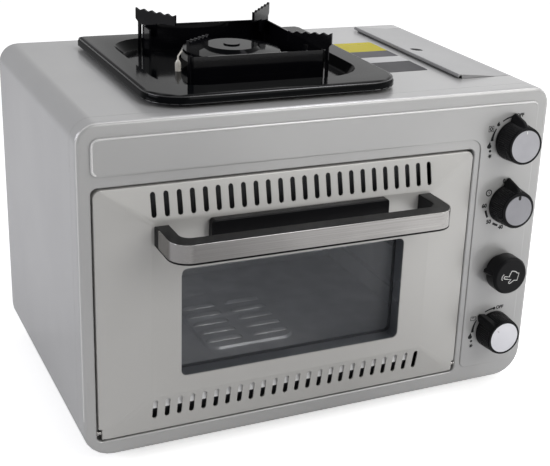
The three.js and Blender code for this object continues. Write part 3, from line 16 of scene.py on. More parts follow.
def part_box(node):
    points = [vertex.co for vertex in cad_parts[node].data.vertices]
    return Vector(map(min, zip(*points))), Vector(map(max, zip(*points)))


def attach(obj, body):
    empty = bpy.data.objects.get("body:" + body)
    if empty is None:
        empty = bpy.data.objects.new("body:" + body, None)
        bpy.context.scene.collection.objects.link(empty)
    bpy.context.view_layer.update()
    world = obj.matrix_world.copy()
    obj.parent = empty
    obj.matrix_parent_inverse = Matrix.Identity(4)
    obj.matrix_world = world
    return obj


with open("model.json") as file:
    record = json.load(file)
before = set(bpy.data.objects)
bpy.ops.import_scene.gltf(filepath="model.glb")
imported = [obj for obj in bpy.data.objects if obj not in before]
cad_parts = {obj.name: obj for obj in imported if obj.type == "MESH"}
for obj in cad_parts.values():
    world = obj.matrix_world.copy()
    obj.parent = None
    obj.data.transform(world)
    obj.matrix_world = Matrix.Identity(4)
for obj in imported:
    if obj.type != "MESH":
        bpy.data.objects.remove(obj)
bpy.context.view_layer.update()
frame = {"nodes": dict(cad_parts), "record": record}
nodes = frame["nodes"]

# %% [markdown]
# The drawing of the oven counts Y from the case's front face and Z from its underside. The
# model stands on feet and is centred front to back, so one helper turns a place on the
# drawing into a place in the scene. Deriving the shift from a solid's own box keeps the
# script right if the model is packed again.

# %% From the drawing to the scene
MM = 0.001
FRONT_TO_BACK = 313
back_of_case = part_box("back_panel")[1]
shift_y = back_of_case[1] - FRONT_TO_BACK * MM
shift_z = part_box("back_panel")[0][2]


def mm(x, y, z):
    return Vector((x * MM, y * MM + shift_y, z * MM + shift_z))


print("case front at Y", round(shift_y, 5), "underside at Z", round(shift_z, 5))

# %% [markdown]
# Shader and geometry trees are both built from nodes and links, so the same few helpers serve
# all of them. One adds a node and feeds its inputs, each with a plain value or a link from
# another node. The rest are short names for the nodes that recur most.

# %% Node helpers
GRID_ROWS, GRID_STEP = 4, (220, -260)


def feed(tree, socket, value):
    if isinstance(value, bpy.types.NodeSocket):
        tree.links.new(value, socket)
    else:
        socket.default_value = value


def add_node(tree, kind, feeds=None, **settings):
    column, row = divmod(len(tree.nodes), GRID_ROWS)
    node = tree.nodes.new(kind)
    node.location = (GRID_STEP[0] * column, GRID_STEP[1] * row)
    for key, value in settings.items():
        setattr(node, key, value)
    for label, value in (feeds or {}).items():
        feed(tree, node.inputs[label], value)
    return node


def new_tree(name, kind, inputs, outputs):
    tree = bpy.data.node_groups.new(name, kind)
    for way, sockets in (("INPUT", inputs), ("OUTPUT", outputs)):
        for label, socket_kind in sockets:
            tree.interface.new_socket(label, in_out=way, socket_type="NodeSocket" + socket_kind)
    entry, leave = add_node(tree, "NodeGroupInput"), add_node(tree, "NodeGroupOutput")
    return tree, entry.outputs, leave.inputs


def reckon(tree, operation, *values):
    feeds = dict(enumerate(values))
    return add_node(tree, "ShaderNodeMath", feeds, operation=operation).outputs[0]


def times(tree, first, second):
    return reckon(tree, "MULTIPLY", first, second)


def map_range(tree, value, source=(0.0, 1.0), target=(0.0, 1.0), kind="LINEAR"):
    feeds = {"Value": value, "From Min": source[0], "From Max": source[1],
             "To Min": target[0], "To Max": target[1]}
    return add_node(tree, "ShaderNodeMapRange", feeds, interpolation_type=kind).outputs["Result"]


def mix_colours(tree, factor, first, second, blend="MIX"):
    feeds = {"Factor": factor, "A": first, "B": second}
    mix = add_node(tree, "ShaderNodeMix", feeds, data_type="RGBA", blend_type=blend)
    return mix.outputs["Result"]


def noise(tree, place, scale, detail):
    feeds = {"Vector": place, "Scale": scale, "Detail": detail}
    return add_node(tree, "ShaderNodeTexNoise", feeds).outputs["Fac"]


def coordinates(tree, kind="Object"):
    return add_node(tree, "ShaderNodeTexCoord").outputs[kind]


def split(tree, vector):
    return add_node(tree, "ShaderNodeSeparateXYZ", {0: vector}).outputs


def combine(tree, **axes):
    return add_node(tree, "ShaderNodeCombineXYZ", axes).outputs[0]


print("a new node is laid out in columns of", GRID_ROWS)

# %% [markdown]
# Real finishes are never one flat colour. Paint drifts in tone and has a faint orange peel,
# bare steel is brushed, plastic is finely grained. Each effect is a shader node group that
# gives a colour, a roughness and a height, so a material only has to choose its values.
#
# The first group is a soft mottle for paint, enamel, plastic and rubber. One slow noise moves
# the tone and the gloss together, and one fine noise gives the height of the grain. Unlike a
# picture, noise has no seams and isn't stretched.

# %% Mottled surface
TONES = [("Light", "Color"), ("Dark", "Color"), ("Smooth", "Float"), ("Rough", "Float")]
RESULTS = [("Colour", "Color"), ("Roughness", "Float"), ("Height", "Float")]
PATCH_DETAIL, GRAIN_DETAIL, PATCH_CONTRAST = 4.0, 2.0, (0.3, 0.7)


def give_results(group, given, result, amount, height):
    colour = mix_colours(group, amount, given["Light"], given["Dark"])
    rough = map_range(group, amount, target=(given["Smooth"], given["Rough"]))
    for socket, value in zip(result, (colour, rough, height)):
        group.links.new(value, socket)


def make_mottle():
    scales = [("Patch Scale", "Float"), ("Grain Scale", "Float")]
    group, given, result = new_tree("mottled surface", "ShaderNodeTree", TONES + scales, RESULTS)
    place = coordinates(group)
    patch = noise(group, place, given["Patch Scale"], PATCH_DETAIL)
    grain = noise(group, place, given["Grain Scale"], GRAIN_DETAIL)
    give_results(group, given, result, map_range(group, patch, PATCH_CONTRAST), grain)
    return group


mottled = make_mottle()
print("inputs of the mottle:", [item.name for item in mottled.interface.items_tree])

# %% [markdown]
# The second group is for rolled and brushed metal. The same noise is stretched along one axis
# by multiplying the coordinates, which turns its blobs into long fine scratches. A slow cloud
# of tone over them stops the metal from looking printed.

# %% Brushed surface
LINE_DETAIL, LINE_SHARE = 3.0, 0.6
CLOUD_SCALE, CLOUD_DETAIL, CLOUD_SHARE = 14.0, 2.0, 0.4


def make_brushed():
    stretch = [("Stretch", "Vector")]
    group, given, result = new_tree("brushed surface", "ShaderNodeTree", TONES + stretch, RESULTS)
    place = coordinates(group)
    feeds = {0: place, 1: given["Stretch"]}
    stretched = add_node(group, "ShaderNodeVectorMath", feeds, operation="MULTIPLY").outputs[0]
    lines = noise(group, stretched, 1.0, LINE_DETAIL)
    cloud = times(group, noise(group, place, CLOUD_SCALE, CLOUD_DETAIL), CLOUD_SHARE)
    amount = reckon(group, "MULTIPLY_ADD", lines, LINE_SHARE, cloud)
    give_results(group, given, result, amount, lines)
    return group


brushed = make_brushed()
print("inputs of the brushed metal:", [item.name for item in brushed.interface.items_tree])

# %% [markdown]
# A finish is one material: a group for what changes over the surface, feeding the Principled
# shader, and plain numbers on the shader for what is the same everywhere, such as metalness
# and coat. It is written as its group, its light and dark tone, the range of roughness, the
# strength of the grain and the group's own scales. Tones are written as they look on screen
# and turned into linear light here.

# %% Finishes
BUMP_DEPTH = 0.2 * MM


def linear(red, green, blue):
    def channel(value):
        share = value / 255
        return share / 12.92 if share <= 0.04045 else ((share + 0.055) / 1.055) ** 2.4

    return (channel(red), channel(green), channel(blue), 1.0)


def finish(name, group, light, dark, gloss, grain, scales, **shader):
    material = bpy.data.materials.new(name)
    material.use_nodes = True
    tree = material.node_tree
    principled = tree.nodes["Principled BSDF"]
    surface = add_node(tree, "ShaderNodeGroup", node_tree=group)
    for socket, value in zip(surface.inputs, (linear(*light), linear(*dark), *gloss, *scales)):
        socket.default_value = value
    colour, roughness, height = surface.outputs
    feeds = {"Strength": grain, "Distance": BUMP_DEPTH, "Height": height}
    normal = add_node(tree, "ShaderNodeBump", feeds).outputs["Normal"]
    feeds = {"Base Color": colour, "Roughness": roughness, "Normal": normal, **shader}
    for label, value in feeds.items():
        feed(tree, principled.inputs[label.replace("_", " ")], value)
    return material


def silver_disc(name, light, dark):
    return finish(name, mottled, light, dark, (0.28, 0.34), 0.03, (40, 900), Metallic=0.7)


PAINT_SCALES = (5, 1400)
PAINT_COAT = {"Coat_Weight": 0.35, "Coat_Roughness": 0.14}
finishes = {
    "body_paint": finish("silver grey paint", mottled, (184, 184, 183), (176, 176, 176),
        (0.3, 0.38), 0.05, PAINT_SCALES, Metallic=0.25, **PAINT_COAT),
    "door_paint": finish("door paint", mottled, (193, 192, 189), (186, 185, 182),
        (0.28, 0.36), 0.05, PAINT_SCALES, Metallic=0.18, **PAINT_COAT),
    "plain_steel": finish("bare sheet steel", brushed, (186, 186, 184), (146, 146, 144),
        (0.3, 0.5), 0.1, [(4, 300, 500)], Metallic=1.0),
    "brushed_steel": finish("brushed steel", brushed, (190, 188, 186), (108, 106, 104),
        (0.14, 0.28), 0.25, [(5, 1500, 1500)], Metallic=1.0),
    "black_plastic": finish("black plastic", mottled, (18, 18, 20), (11, 11, 13),
        (0.3, 0.42), 0.2, (30, 2200), Specular_IOR_Level=0.12),
    "disc_silver": silver_disc("spun silver disc", (212, 212, 216), (204, 204, 209)),
    # partly real satin sheen from its metalness, partly painted reflection: the black frame's tone
    # is lifted to grey
    "black_frame": finish("black frame with painted reflection", mottled, (108, 111, 116), (92, 95, 100),
        (0.25, 0.36), 0.1, (12, 1300), Metallic=0.4),
    "black_enamel": finish("black enamel", mottled, (8, 9, 11), (4, 5, 7),
        (0.06, 0.12), 0.05, (18, 500), Specular_IOR_Level=0.05),
    "cast_alloy": finish("cast alloy", mottled, (182, 182, 178), (150, 150, 147),
        (0.4, 0.55), 0.5, (60, 900), Metallic=0.9),
    "brass": finish("machined brass", brushed, (196, 160, 92), (150, 118, 62),
        (0.25, 0.4), 0.1, [(400, 30, 400)], Metallic=1.0),
    "ceramic": finish("glazed ceramic", mottled, (238, 234, 224), (226, 221, 210),
        (0.15, 0.25), 0.1, (80, 900), Coat_Weight=0.4),
    "rubber": finish("moulded rubber", mottled, (34, 34, 35), (23, 23, 24),
        (0.75, 0.9), 0.5, (40, 1500)),
    "chrome_wire": finish("bright plated wire", brushed, (214, 215, 218), (190, 191, 195),
        (0.1, 0.2), 0.03, [(200, 20, 200)], Metallic=1.0),
}
print("finishes:", ", ".join(sorted(finishes)))

# %% [markdown]
# Window glass is the one finish that light passes through. The pane is smoked, so its colour
# darkens what lies behind it, and a faint smear in its roughness keeps the reflections alive.
# A few solids then get a finish of their own. The lid, the hob and timer discs and the inner door
# panel get darker copies of a shared finish, painted shade for how the light falls on them. The
# oven's floor plate and liner get lighter ones, painted light that stands in for light the closed
# oven lacks. The guard and its supports get a glossier enamel.

# %% Smoked glass and finishes of single solids
finishes["door_glass"] = finish(
    "smoked glass", mottled, (176, 180, 186), (168, 172, 179), (0.01, 0.03), 0.0, (7, 200),
    Transmission_Weight=0.75, IOR=1.45, Alpha=0.24)
polished_enamel = finish(
    "polished enamel", mottled, (11, 11, 14), (7, 7, 10), (0.08, 0.16), 0.08, (25, 350),
    Specular_IOR_Level=0.22)
GUARD_SOLIDS = ["wind_guard"] + [name for name in nodes if name.startswith("pot_support_")]
own_finish = {
    **dict.fromkeys(GUARD_SOLIDS, polished_enamel),
    # painted shade: the lid's paint is darker than the body's
    "canister_lid": finish("lid with painted shade", mottled, (149, 149, 150), (141, 141, 142),
        (0.3, 0.38), 0.05, PAINT_SCALES, Metallic=0.25, **PAINT_COAT),
    # painted shade: these two silver discs are darker than the oven knob's
    "knob_hob_disc": silver_disc("hob disc", (164, 164, 168), (156, 156, 160)),
    "knob_timer_disc": silver_disc("timer disc", (142, 142, 146), (134, 134, 138)),
    # painted light: floor plate and liner are lighter than bare steel, for light the closed oven
    # lacks
    "oven_floor_plate": finish("galvanised plate with painted light", mottled, (222, 223, 225), (198, 199, 202),
        (0.3, 0.45), 0.1, (40, 700), Metallic=0.3),
    "oven_liner": finish("galvanised lining with painted light", mottled, (232, 233, 235), (212, 213, 216),
        (0.35, 0.5), 0.1, (30, 700), Metallic=0.3),
    # painted shade: the inner door panel is darkened
    "door_inner_panel": finish("inner panel steel with painted shade", brushed, (104, 105, 107), (78, 79, 81),
        (0.4, 0.55), 0.1, [(4, 300, 500)], Metallic=1.0),
}
print("solids with their own finish:", len(own_finish))

# %% [markdown]
# Each solid's record names its material slot, so the finishes go on by that name. The solids
# are flat triangles. A small Geometry Nodes modifier drops their stored normals, welds them
# and shades smooth across every edge that turns less than a set angle, which rounds the bends
# and keeps true corners sharp.

# %% Smooth shading by angle
WELD_DISTANCE = 0.000005
SMOOTH_ANGLE = radians(32)


def geometry_tree(name, *numbers, **others):
    geometry = [("Geometry", "Geometry")]
    inputs = geometry + [(label, "Float") for label in numbers] + list(others.items())
    return new_tree(name, "GeometryNodeTree", inputs, geometry)


def grow_step(tree, kind, geometry, feeds=None, **settings):
    feeds = {0: geometry, **(feeds or {})}
    return add_node(tree, "GeometryNode" + kind, feeds, **settings).outputs[0]


def make_smoothing():
    tree, given, leave = geometry_tree("smooth by angle")
    bare = grow_step(tree, "RemoveAttribute", given["Geometry"], {"Name": "custom_normal"})
    weld = grow_step(tree, "MergeByDistance", bare, {"Distance": WELD_DISTANCE})
    smooth = grow_step(tree, "SetShadeSmooth", weld, domain="FACE")
    angle = add_node(tree, "GeometryNodeInputMeshEdgeAngle").outputs["Unsigned Angle"]
    steep = add_node(tree, "FunctionNodeCompare", {"A": angle, "B": SMOOTH_ANGLE},
                     data_type="FLOAT", operation="GREATER_THAN")
    feeds = {"Selection": steep.outputs["Result"], "Shade Smooth": False}
    sharp = grow_step(tree, "SetShadeSmooth", smooth, feeds, domain="EDGE")
    tree.links.new(sharp, leave["Geometry"])
    return tree


smoothing = make_smoothing()


def shade_cleanly(solid):
    solid.modifiers.new("smooth by angle", "NODES").node_group = smoothing
    solid.modifiers.new("even normals", "WEIGHTED_NORMAL").keep_sharp = True


for subpart in frame["record"]["subparts"]:
    solid = nodes[subpart["node"]]
    shared = finishes[subpart["material_slot"]]
    solid.material_slots[0].material = own_finish.get(subpart["node"], shared)
    shade_cleanly(solid)

# %% [markdown]
# Pressed and moulded edges are never knife sharp. The thin bright line along them makes metal
# and plastic look real, so a Bevel modifier rounds the corners of the plainer solids by a
# fraction of a millimetre. Their triangles are first welded and flat neighbours merged, so
# that the bevel finds only the true edges.

# %% Softened edges
FLAT_ANGLE, TRUE_EDGE_ANGLE = radians(1), radians(35)
SOFT_EDGES = {
    **dict.fromkeys(GUARD_SOLIDS + ["knob_hob", "knob_timer", "knob_oven"], 0.35),
    "handle_cover": 0.38, "handle_grip": 0.8, "handle_guard_bar": 0.8, "canister_lid": 0.3,
    "safety_button": 0.6, "window_frame": 0.4,
}
for name, width in SOFT_EDGES.items():
    solid = nodes[name]
    solid.modifiers.clear()
    solid.modifiers.new("weld", "WELD").merge_threshold = WELD_DISTANCE
    merge = solid.modifiers.new("merge flat faces", "DECIMATE")
    merge.decimate_type = "DISSOLVE"
    merge.angle_limit = FLAT_ANGLE
    bevel = solid.modifiers.new("soft edge", "BEVEL")
    bevel.width = width * MM
    bevel.segments = 2
    bevel.limit_method = "ANGLE"
    bevel.angle_limit = TRUE_EDGE_ANGLE
    shade_cleanly(solid)
print("softened solids:", len(SOFT_EDGES))

# %% [markdown]
# Printed marks, screws and other small pieces are drawn flat, in millimetres, looking up the
# Z axis, and are then carried to their place. One helper turns a drawing to face forward, one
# joins meshes into a piece that rides on its body, and one runs a Geometry Nodes tree and
# keeps the plain mesh that it makes.


# %% Helpers for small pieces
def facing_front(place):
    return Matrix.Translation(place) @ Matrix.Rotation(radians(90), 4, "X")


def add_object(name, data):
    thing = bpy.data.objects.new(name, data)
    bpy.context.scene.collection.objects.link(thing)
    return thing


def as_mesh(name, shape):
    mesh = bpy.data.meshes.new(name)
    shape.to_mesh(mesh)
    shape.free()
    return mesh


def make_piece(name, parts, material, body):
    whole = bmesh.new()
    for mesh, placed in parts:
        first = len(whole.verts)
        whole.from_mesh(mesh)
        whole.verts.ensure_lookup_table()
        bmesh.ops.transform(whole, matrix=placed, verts=whole.verts[first:])
    mesh = as_mesh(name, whole)
    mesh.materials.clear()
    mesh.materials.append(material)
    for face in mesh.polygons:
        face.material_index = 0
    piece = add_object(name, mesh)
    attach(piece, body)
    print(name, "on", body, "with", len(mesh.polygons), "faces")


def evaluated_mesh(maker):
    graph = bpy.context.evaluated_depsgraph_get()
    mesh = bpy.data.meshes.new_from_object(maker.evaluated_get(graph))
    bpy.data.objects.remove(maker)
    return mesh


def grow(tree, start=None, **sizes):
    maker = add_object("maker", start or bpy.data.meshes.new("nothing"))
    modifier = maker.modifiers.new(tree.name, "NODES")
    modifier.node_group = tree
    for item in tree.interface.items_tree:
        label = item.name.replace(" ", "_")
        if item.in_out == "INPUT" and label in sizes:
            modifier[item.identifier] = sizes[label]
    return evaluated_mesh(maker)


# %% [markdown]
# A gas dial is marked with an arc that gets wider towards the bigger flame. The tree below
# takes a grid one unit square and bends it: the place along its first axis becomes an angle,
# the place across it becomes a distance from the centre, and the width grows along the way.
# Two steps are helpers for later trees too: one gives a sheet its thickness, and one makes
# copies real and puts the material on.

# %% Tapered arc
TINY = 0.000001
ARC_POINTS = 25
INK = 0.08
INK_SINK = 0.02
INK_LOOK = ((0.45, 0.6), 0.1, (300, 3000))
black_ink, white_ink = [
    finish(name, mottled, light, dark, *INK_LOOK, Specular_IOR_Level=0.3) for name, light, dark in
    (("black screen ink", (12, 12, 14), (22, 22, 24)),
     ("white screen ink", (226, 226, 224), (212, 212, 210)))]


def own_place(tree):
    return split(tree, add_node(tree, "GeometryNodeInputPosition").outputs[0])


def thickened(tree, sheet, thickness):
    feeds = {"Offset": combine(tree, Z=thickness), "Individual": False}
    thick = grow_step(tree, "ExtrudeMesh", sheet, feeds)
    under = grow_step(tree, "FlipFaces", sheet)
    join = add_node(tree, "GeometryNodeJoinGeometry")
    tree.links.new(thick, join.inputs[0])
    tree.links.new(under, join.inputs[0])
    return grow_step(tree, "MergeByDistance", join.outputs[0], {"Distance": TINY})


def deliver(tree, geometry, given, leave):
    real = grow_step(tree, "RealizeInstances", geometry)
    dressed = grow_step(tree, "SetMaterial", real, {"Material": given["Material"]})
    tree.links.new(dressed, leave["Geometry"])
    return tree


def make_arc_tree():
    tree, given, leave = geometry_tree("tapered arc", "Radius", "Start", "Sweep", "Start Width",
                                       "End Width", "Thickness", Material="Material")
    grid = add_node(tree, "GeometryNodeMeshGrid", {"Vertices X": ARC_POINTS, "Vertices Y": 2})
    place = own_place(tree)
    along = reckon(tree, "ADD", place["X"], 0.5)
    angle = reckon(tree, "MULTIPLY_ADD", given["Sweep"], along, given["Start"])
    growth = reckon(tree, "SUBTRACT", given["End Width"], given["Start Width"])
    width = reckon(tree, "MULTIPLY_ADD", growth, along, given["Start Width"])
    reach = reckon(tree, "MULTIPLY_ADD", place["Y"], width, given["Radius"])
    x, y = (times(tree, reckon(tree, wave, angle), reach)
            for wave in ("COSINE", "SINE"))
    curl = grow_step(tree, "SetPosition", grid.outputs["Mesh"],
                     {"Position": combine(tree, X=x, Y=y)})
    return deliver(tree, thickened(tree, curl, given["Thickness"]), given, leave)


arc_tree = make_arc_tree()


def arc(radius, start, sweep, start_width, end_width):
    return grow(arc_tree, Radius=radius * MM, Start=radians(start),
                Sweep=radians(sweep), Start_Width=start_width * MM,
                End_Width=end_width * MM, Thickness=(INK + INK_SINK) * MM, Material=black_ink)


def ring(radius, width):
    return arc(radius, 0, 360, width, width)


print("sample arc:", len(arc(20, 0, 90, 1, 2).polygons), "faces")

# %% [markdown]
# The other marks are outlines, strokes and figures. An outline is filled and given the
# thickness of the ink. A stroke is a curve with a round bevel, made a mesh and then pressed
# flat. The figures are in Blender's own font. One helper gives the points of a bend, for every
# round corner below.

# %% Outlines, strokes and figures
FONT_SIZE, FONT_BOLD = 1.4, 0.075
FLAME = [(0, 0), (0.26, 0.06), (0.36, 0.24), (0.32, 0.44), (0.2, 0.58), (0.17, 0.76), (0.02, 1),
         (-0.12, 0.72), (-0.3, 0.5), (-0.37, 0.26), (-0.26, 0.06)]
FLAME_MIDDLE = 0.45
SPARK_POINTS, SPARK_INNER = 8, 0.42


def bend(x, y, radius, start, sweep, steps=6):
    turns = [radians(start + sweep * i / steps) for i in range(steps + 1)]
    return [(x + radius * cos(t), y + radius * sin(t)) for t in turns]


def filled(outline, thickness=INK + INK_SINK):
    shape = bmesh.new()
    face = shape.faces.new([shape.verts.new((x * MM, y * MM, 0)) for x, y in outline])
    face.normal_update()
    if face.normal.z > 0:
        face.normal_flip()
    raised = bmesh.ops.extrude_face_region(shape, geom=[face])["geom"]
    tops = [item for item in raised if isinstance(item, bmesh.types.BMVert)]
    bmesh.ops.translate(shape, verts=tops, vec=(0, 0, thickness * MM))
    bmesh.ops.recalc_face_normals(shape, faces=shape.faces)
    return as_mesh("outline", shape)


def stroke(points, width, closed=False, proud=INK):
    line = bpy.data.curves.new("stroke", "CURVE")
    line.dimensions = "3D"
    line.bevel_depth = width / 2 * MM
    line.bevel_resolution = 1
    line.use_fill_caps = True
    spline = line.splines.new("POLY")
    spline.points.add(len(points) - 1)
    for knot, (x, y) in zip(spline.points, points):
        knot.co = (x * MM, y * MM, 0, 1)
    spline.use_cyclic_u = closed
    mesh = evaluated_mesh(add_object("stroke", line))
    mesh.transform(Matrix.Diagonal((1, 1, proud / (width / 2), 1)))
    return mesh


def figures(text, height):
    words = bpy.data.curves.new("figures", "FONT")
    words.body = text
    words.size = FONT_SIZE * height * MM
    words.align_x = words.align_y = "CENTER"
    words.resolution_u = 3
    words.extrude = INK * MM
    words.offset = FONT_BOLD * height * MM
    return evaluated_mesh(add_object("figures", words))


def dot(radius):
    return filled(bend(0, 0, radius, 0, 360, 20)[:-1])


def flame(height):
    return filled([(x * height, (y - FLAME_MIDDLE) * height) for x, y in FLAME])


def spark(radius):
    turns = [pi * i / SPARK_POINTS for i in range(2 * SPARK_POINTS)]
    reach = [radius, radius * SPARK_INNER] * SPARK_POINTS
    return filled([(r * cos(t), r * sin(t)) for r, t in zip(reach, turns)])


def box_line(width, height, line):
    x, y = width / 2, height / 2
    return stroke([(-x, -y), (x, -y), (x, y), (-x, y)], line, True)


print("stroke sample:", len(stroke([(0, 0), (3, 0)], 0.4).polygons), "faces")

# %% [markdown]
# The marks of each dial sit round its knob, so their places are an angle and a distance from
# the knob's own centre, read from its silver disc. The hob and the oven each have an OFF place,
# an arc to the low setting, an arc that swells to the big flame, and a spark for lighting. The
# timer is a scale of minutes over three quarters of a turn. An arc is its radius, start, sweep
# and two widths; a mark is its shape, angle and distance.

# %% Dial marks
PANEL_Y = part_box("front_panel")[0][1] + INK_SINK * MM
SIGN_LINE, HAND_LINE = 1.1, 0.8
OFF_HEIGHT, MINUTE_HEIGHT = 3.8, 4.3
SIGN_PLACE, OVEN_SIGN_PLACE, CLOCK_PLACE = (153, 31.2), (148, 31.2), (148, 26.8)


def centre_of(node):
    low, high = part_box(node)
    return Vector([(a + b) / 2 for a, b in zip(low, high)])


def on_panel(centre, angle, reach):
    turn = radians(angle)
    return facing_front((centre.x + reach * MM * cos(turn), PANEL_Y,
                         centre.z + reach * MM * sin(turn)))


def dial(node, arcs, marks):
    centre = centre_of(node)
    parts = [(arc(*sizes), on_panel(centre, 0, 0)) for sizes in arcs]
    return parts + [(mark, on_panel(centre, angle, reach)) for mark, angle, reach in marks]


hob_marks = dial("knob_hob_disc", [(25.6, 124, -29, 1.4, 1.7), (25.6, 147, 31, 1.3, 3.6)], [
    (dot(1.5), 95, 25.6), (figures("OFF", OFF_HEIGHT), 76, 27), (flame(5.4), 136, 27),
    (box_line(5.8, 5.8, SIGN_LINE), *SIGN_PLACE), (ring(1.508, SIGN_LINE), *SIGN_PLACE),
    (flame(7.4), 187.5, 28.6), (dot(1.5), 200, 28.6), (spark(3.1), 210, 30.6)])
oven_marks = dial("knob_oven_disc", [(24.8, 118, -27, 1.5, 1.8), (25.8, 148, 33, 1.3, 3.6)], [
    (dot(1.7), 90, 24.8), (figures("OFF", OFF_HEIGHT), 74, 26.2),
    (box_line(6, 4.4, SIGN_LINE), *OVEN_SIGN_PLACE),
    (stroke([(-1.9, 0.8), (1.9, 0.8)], SIGN_LINE), *OVEN_SIGN_PLACE),
    (flame(7.4), 189.5, 28.6), (dot(1.5), 203, 28.4), (spark(3.1), 213, 30.8)])
MINUTE_TURNS = {60: 180, 50: 224, 40: 263, 30: 297, 20: 325, 10: 348}
clock = [(ring(3.3, 1.2), *CLOCK_PLACE), (stroke([(0, 0), (0, 2.0)], HAND_LINE), *CLOCK_PLACE),
         (stroke([(0, 0), (1.4, -0.6)], HAND_LINE), *CLOCK_PLACE)]
minutes = [(figures(str(minute), MINUTE_HEIGHT), turn, 27) for minute, turn in MINUTE_TURNS.items()]
minutes.append((figures("0", MINUTE_HEIGHT), 101, 26))
scale_arcs = [(25.3, MINUTE_TURNS[minute] + 12, sweep, 2.6, 2.4)
              for minute, sweep in ((60, 20), (50, 17), (40, 12), (30, 8))]
timer_marks = dial("knob_timer_disc", scale_arcs, clock + minutes)
for name, parts in (("hob", hob_marks), ("timer", timer_marks), ("oven", oven_marks)):
    make_piece(name + "_dial_print", parts, black_ink, "case")

# %% [markdown]
# Each silver disc carries a mark that shows where the knob points: a pale one on the hob knob,
# a dark notch on the timer and a faint one on the oven knob, which is turned away from OFF. A
# black rim runs round two of the discs. Marks and rims ride with their knobs. The push button
# carries the outline of a pressing hand, one closed stroke with a short curved line beyond the
# finger tip.

# %% Knob marks
RIM_RADIUS, RIM_WIDTH = 18.25, 2.2
HAND = [(-2.4, -6.2), (-2.6, -3.4), (-5.3, -0.5), (-5.2, 0.6), (-4.1, 0.8), (-2.2, -0.7),
        (-2.2, 5.1), (-1.9, 5.9), (-1.2, 6.2), (-0.5, 5.9), (-0.2, 5.1), (-0.2, 1.3), (0.4, 1.8),
        (1.1, 1.7), (1.5, 1.1), (2.0, 1.6), (2.7, 1.4), (3.1, 0.8), (3.6, 1.1), (4.2, 0.8),
        (4.5, 0.1), (4.4, -2.6), (3.4, -4.4), (3.3, -6.2)]
RIPPLE = bend(-1.2, 5.0, 3.0, 35, 105, 7)
HAND_TURN, HAND_SCALE = 78, 1.45
faint_ink = finish(
    "faint grey ink", mottled, (176, 175, 178), (166, 165, 169), (0.4, 0.5), 0.1, (300, 3000))


def bar_outline(width, length):
    top = bend(0, (length - width) / 2, width / 2, 0, 180)
    return top + [(-x, -y) for x, y in top]


def on_face(front_node, centre_node, turn):
    centre = centre_of(centre_node)
    face = facing_front((centre.x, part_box(front_node)[0][1] + INK_SINK * MM, centre.z))
    return face @ Matrix.Rotation(radians(turn), 4, "Z")


def knob_tick(name, node, turn, inset, width, length, ink, body):
    radius = (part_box(node)[1][0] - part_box(node)[0][0]) / 2
    up = Matrix.Translation((0, radius - inset * MM, 0))
    placed = on_face(node, node, turn) @ up
    make_piece(name, [(filled(bar_outline(width, length)), placed)], ink, body)


for knob in ("hob", "oven"):
    disc = f"knob_{knob}_disc"
    half_rim = arc(RIM_RADIUS, 0, 180, RIM_WIDTH, RIM_WIDTH)
    halves = [(half_rim, on_face(disc, disc, turn)) for turn in (0, 180)]
    make_piece(knob + "_knob_rim", halves, finishes["black_plastic"], knob + "_knob")
knob_tick("hob_knob_mark", "knob_hob_disc", 0, 2.8, 1.3, 3.4, white_ink, "hob_knob")
knob_tick("timer_knob_mark", "knob_timer_disc", 0, 2.0, 3.3, 5.0, black_ink, "timer_knob")
knob_tick("oven_knob_mark", "knob_oven_disc", 45, 5.5, 1.2, 3.0, faint_ink, "oven_knob")
hand_place = (on_face("safety_button", "safety_collar", HAND_TURN)
              @ Matrix.Diagonal((HAND_SCALE, HAND_SCALE, 1, 1)))
hand_lines = [(stroke(HAND, 0.85, True), hand_place), (stroke(RIPPLE, 0.75), hand_place)]
make_piece("button_hand_print", hand_lines, white_ink, "safety_push")

# %% [markdown]
# The sides of the knobs are finely ribbed for grip. A ring of points has one thin bar on each,
# leaned to the knob's taper and sunk half its height, and the number of ribs is one input.

# %% Knob ribs
RIB_START, RIB_LENGTH = 3.2, 18.6
# painted sheen: the ribs are a lighter copy of the knobs' black plastic
rib_sheen_plastic = finish(
    "ribbed plastic with painted sheen", mottled, (30, 30, 33), (22, 22, 25), (0.2, 0.3), 0.1, (60, 2200),
    Specular_IOR_Level=0.35)


def make_rib_tree():
    tree, given, leave = geometry_tree(
        "ribs round a knob", "Back Radius", "Front Radius", "Length", "Rib Width", "Rib Height",
        Count="Int", Material="Material")
    taper = reckon(tree, "SUBTRACT", given["Back Radius"], given["Front Radius"])
    both = reckon(tree, "ADD", given["Back Radius"], given["Front Radius"])
    middle = times(tree, both, 0.5)
    points = add_node(tree, "GeometryNodeMeshCircle",
                      {"Vertices": given["Count"], "Radius": middle}).outputs[0]
    size = combine(tree, X=given["Rib Height"], Y=given["Rib Width"], Z=given["Length"])
    rib = add_node(tree, "GeometryNodeMeshCube", {"Size": size}).outputs["Mesh"]
    lean = times(tree, reckon(tree, "ARCTAN2", taper, given["Length"]), -1.0)
    index = add_node(tree, "GeometryNodeInputIndex").outputs[0]
    turn = times(tree, index, reckon(tree, "DIVIDE", 2 * pi, given["Count"]))
    feeds = {"Instance": rib, "Rotation": combine(tree, Y=lean, Z=turn)}
    return deliver(tree, grow_step(tree, "InstanceOnPoints", points, feeds), given, leave)


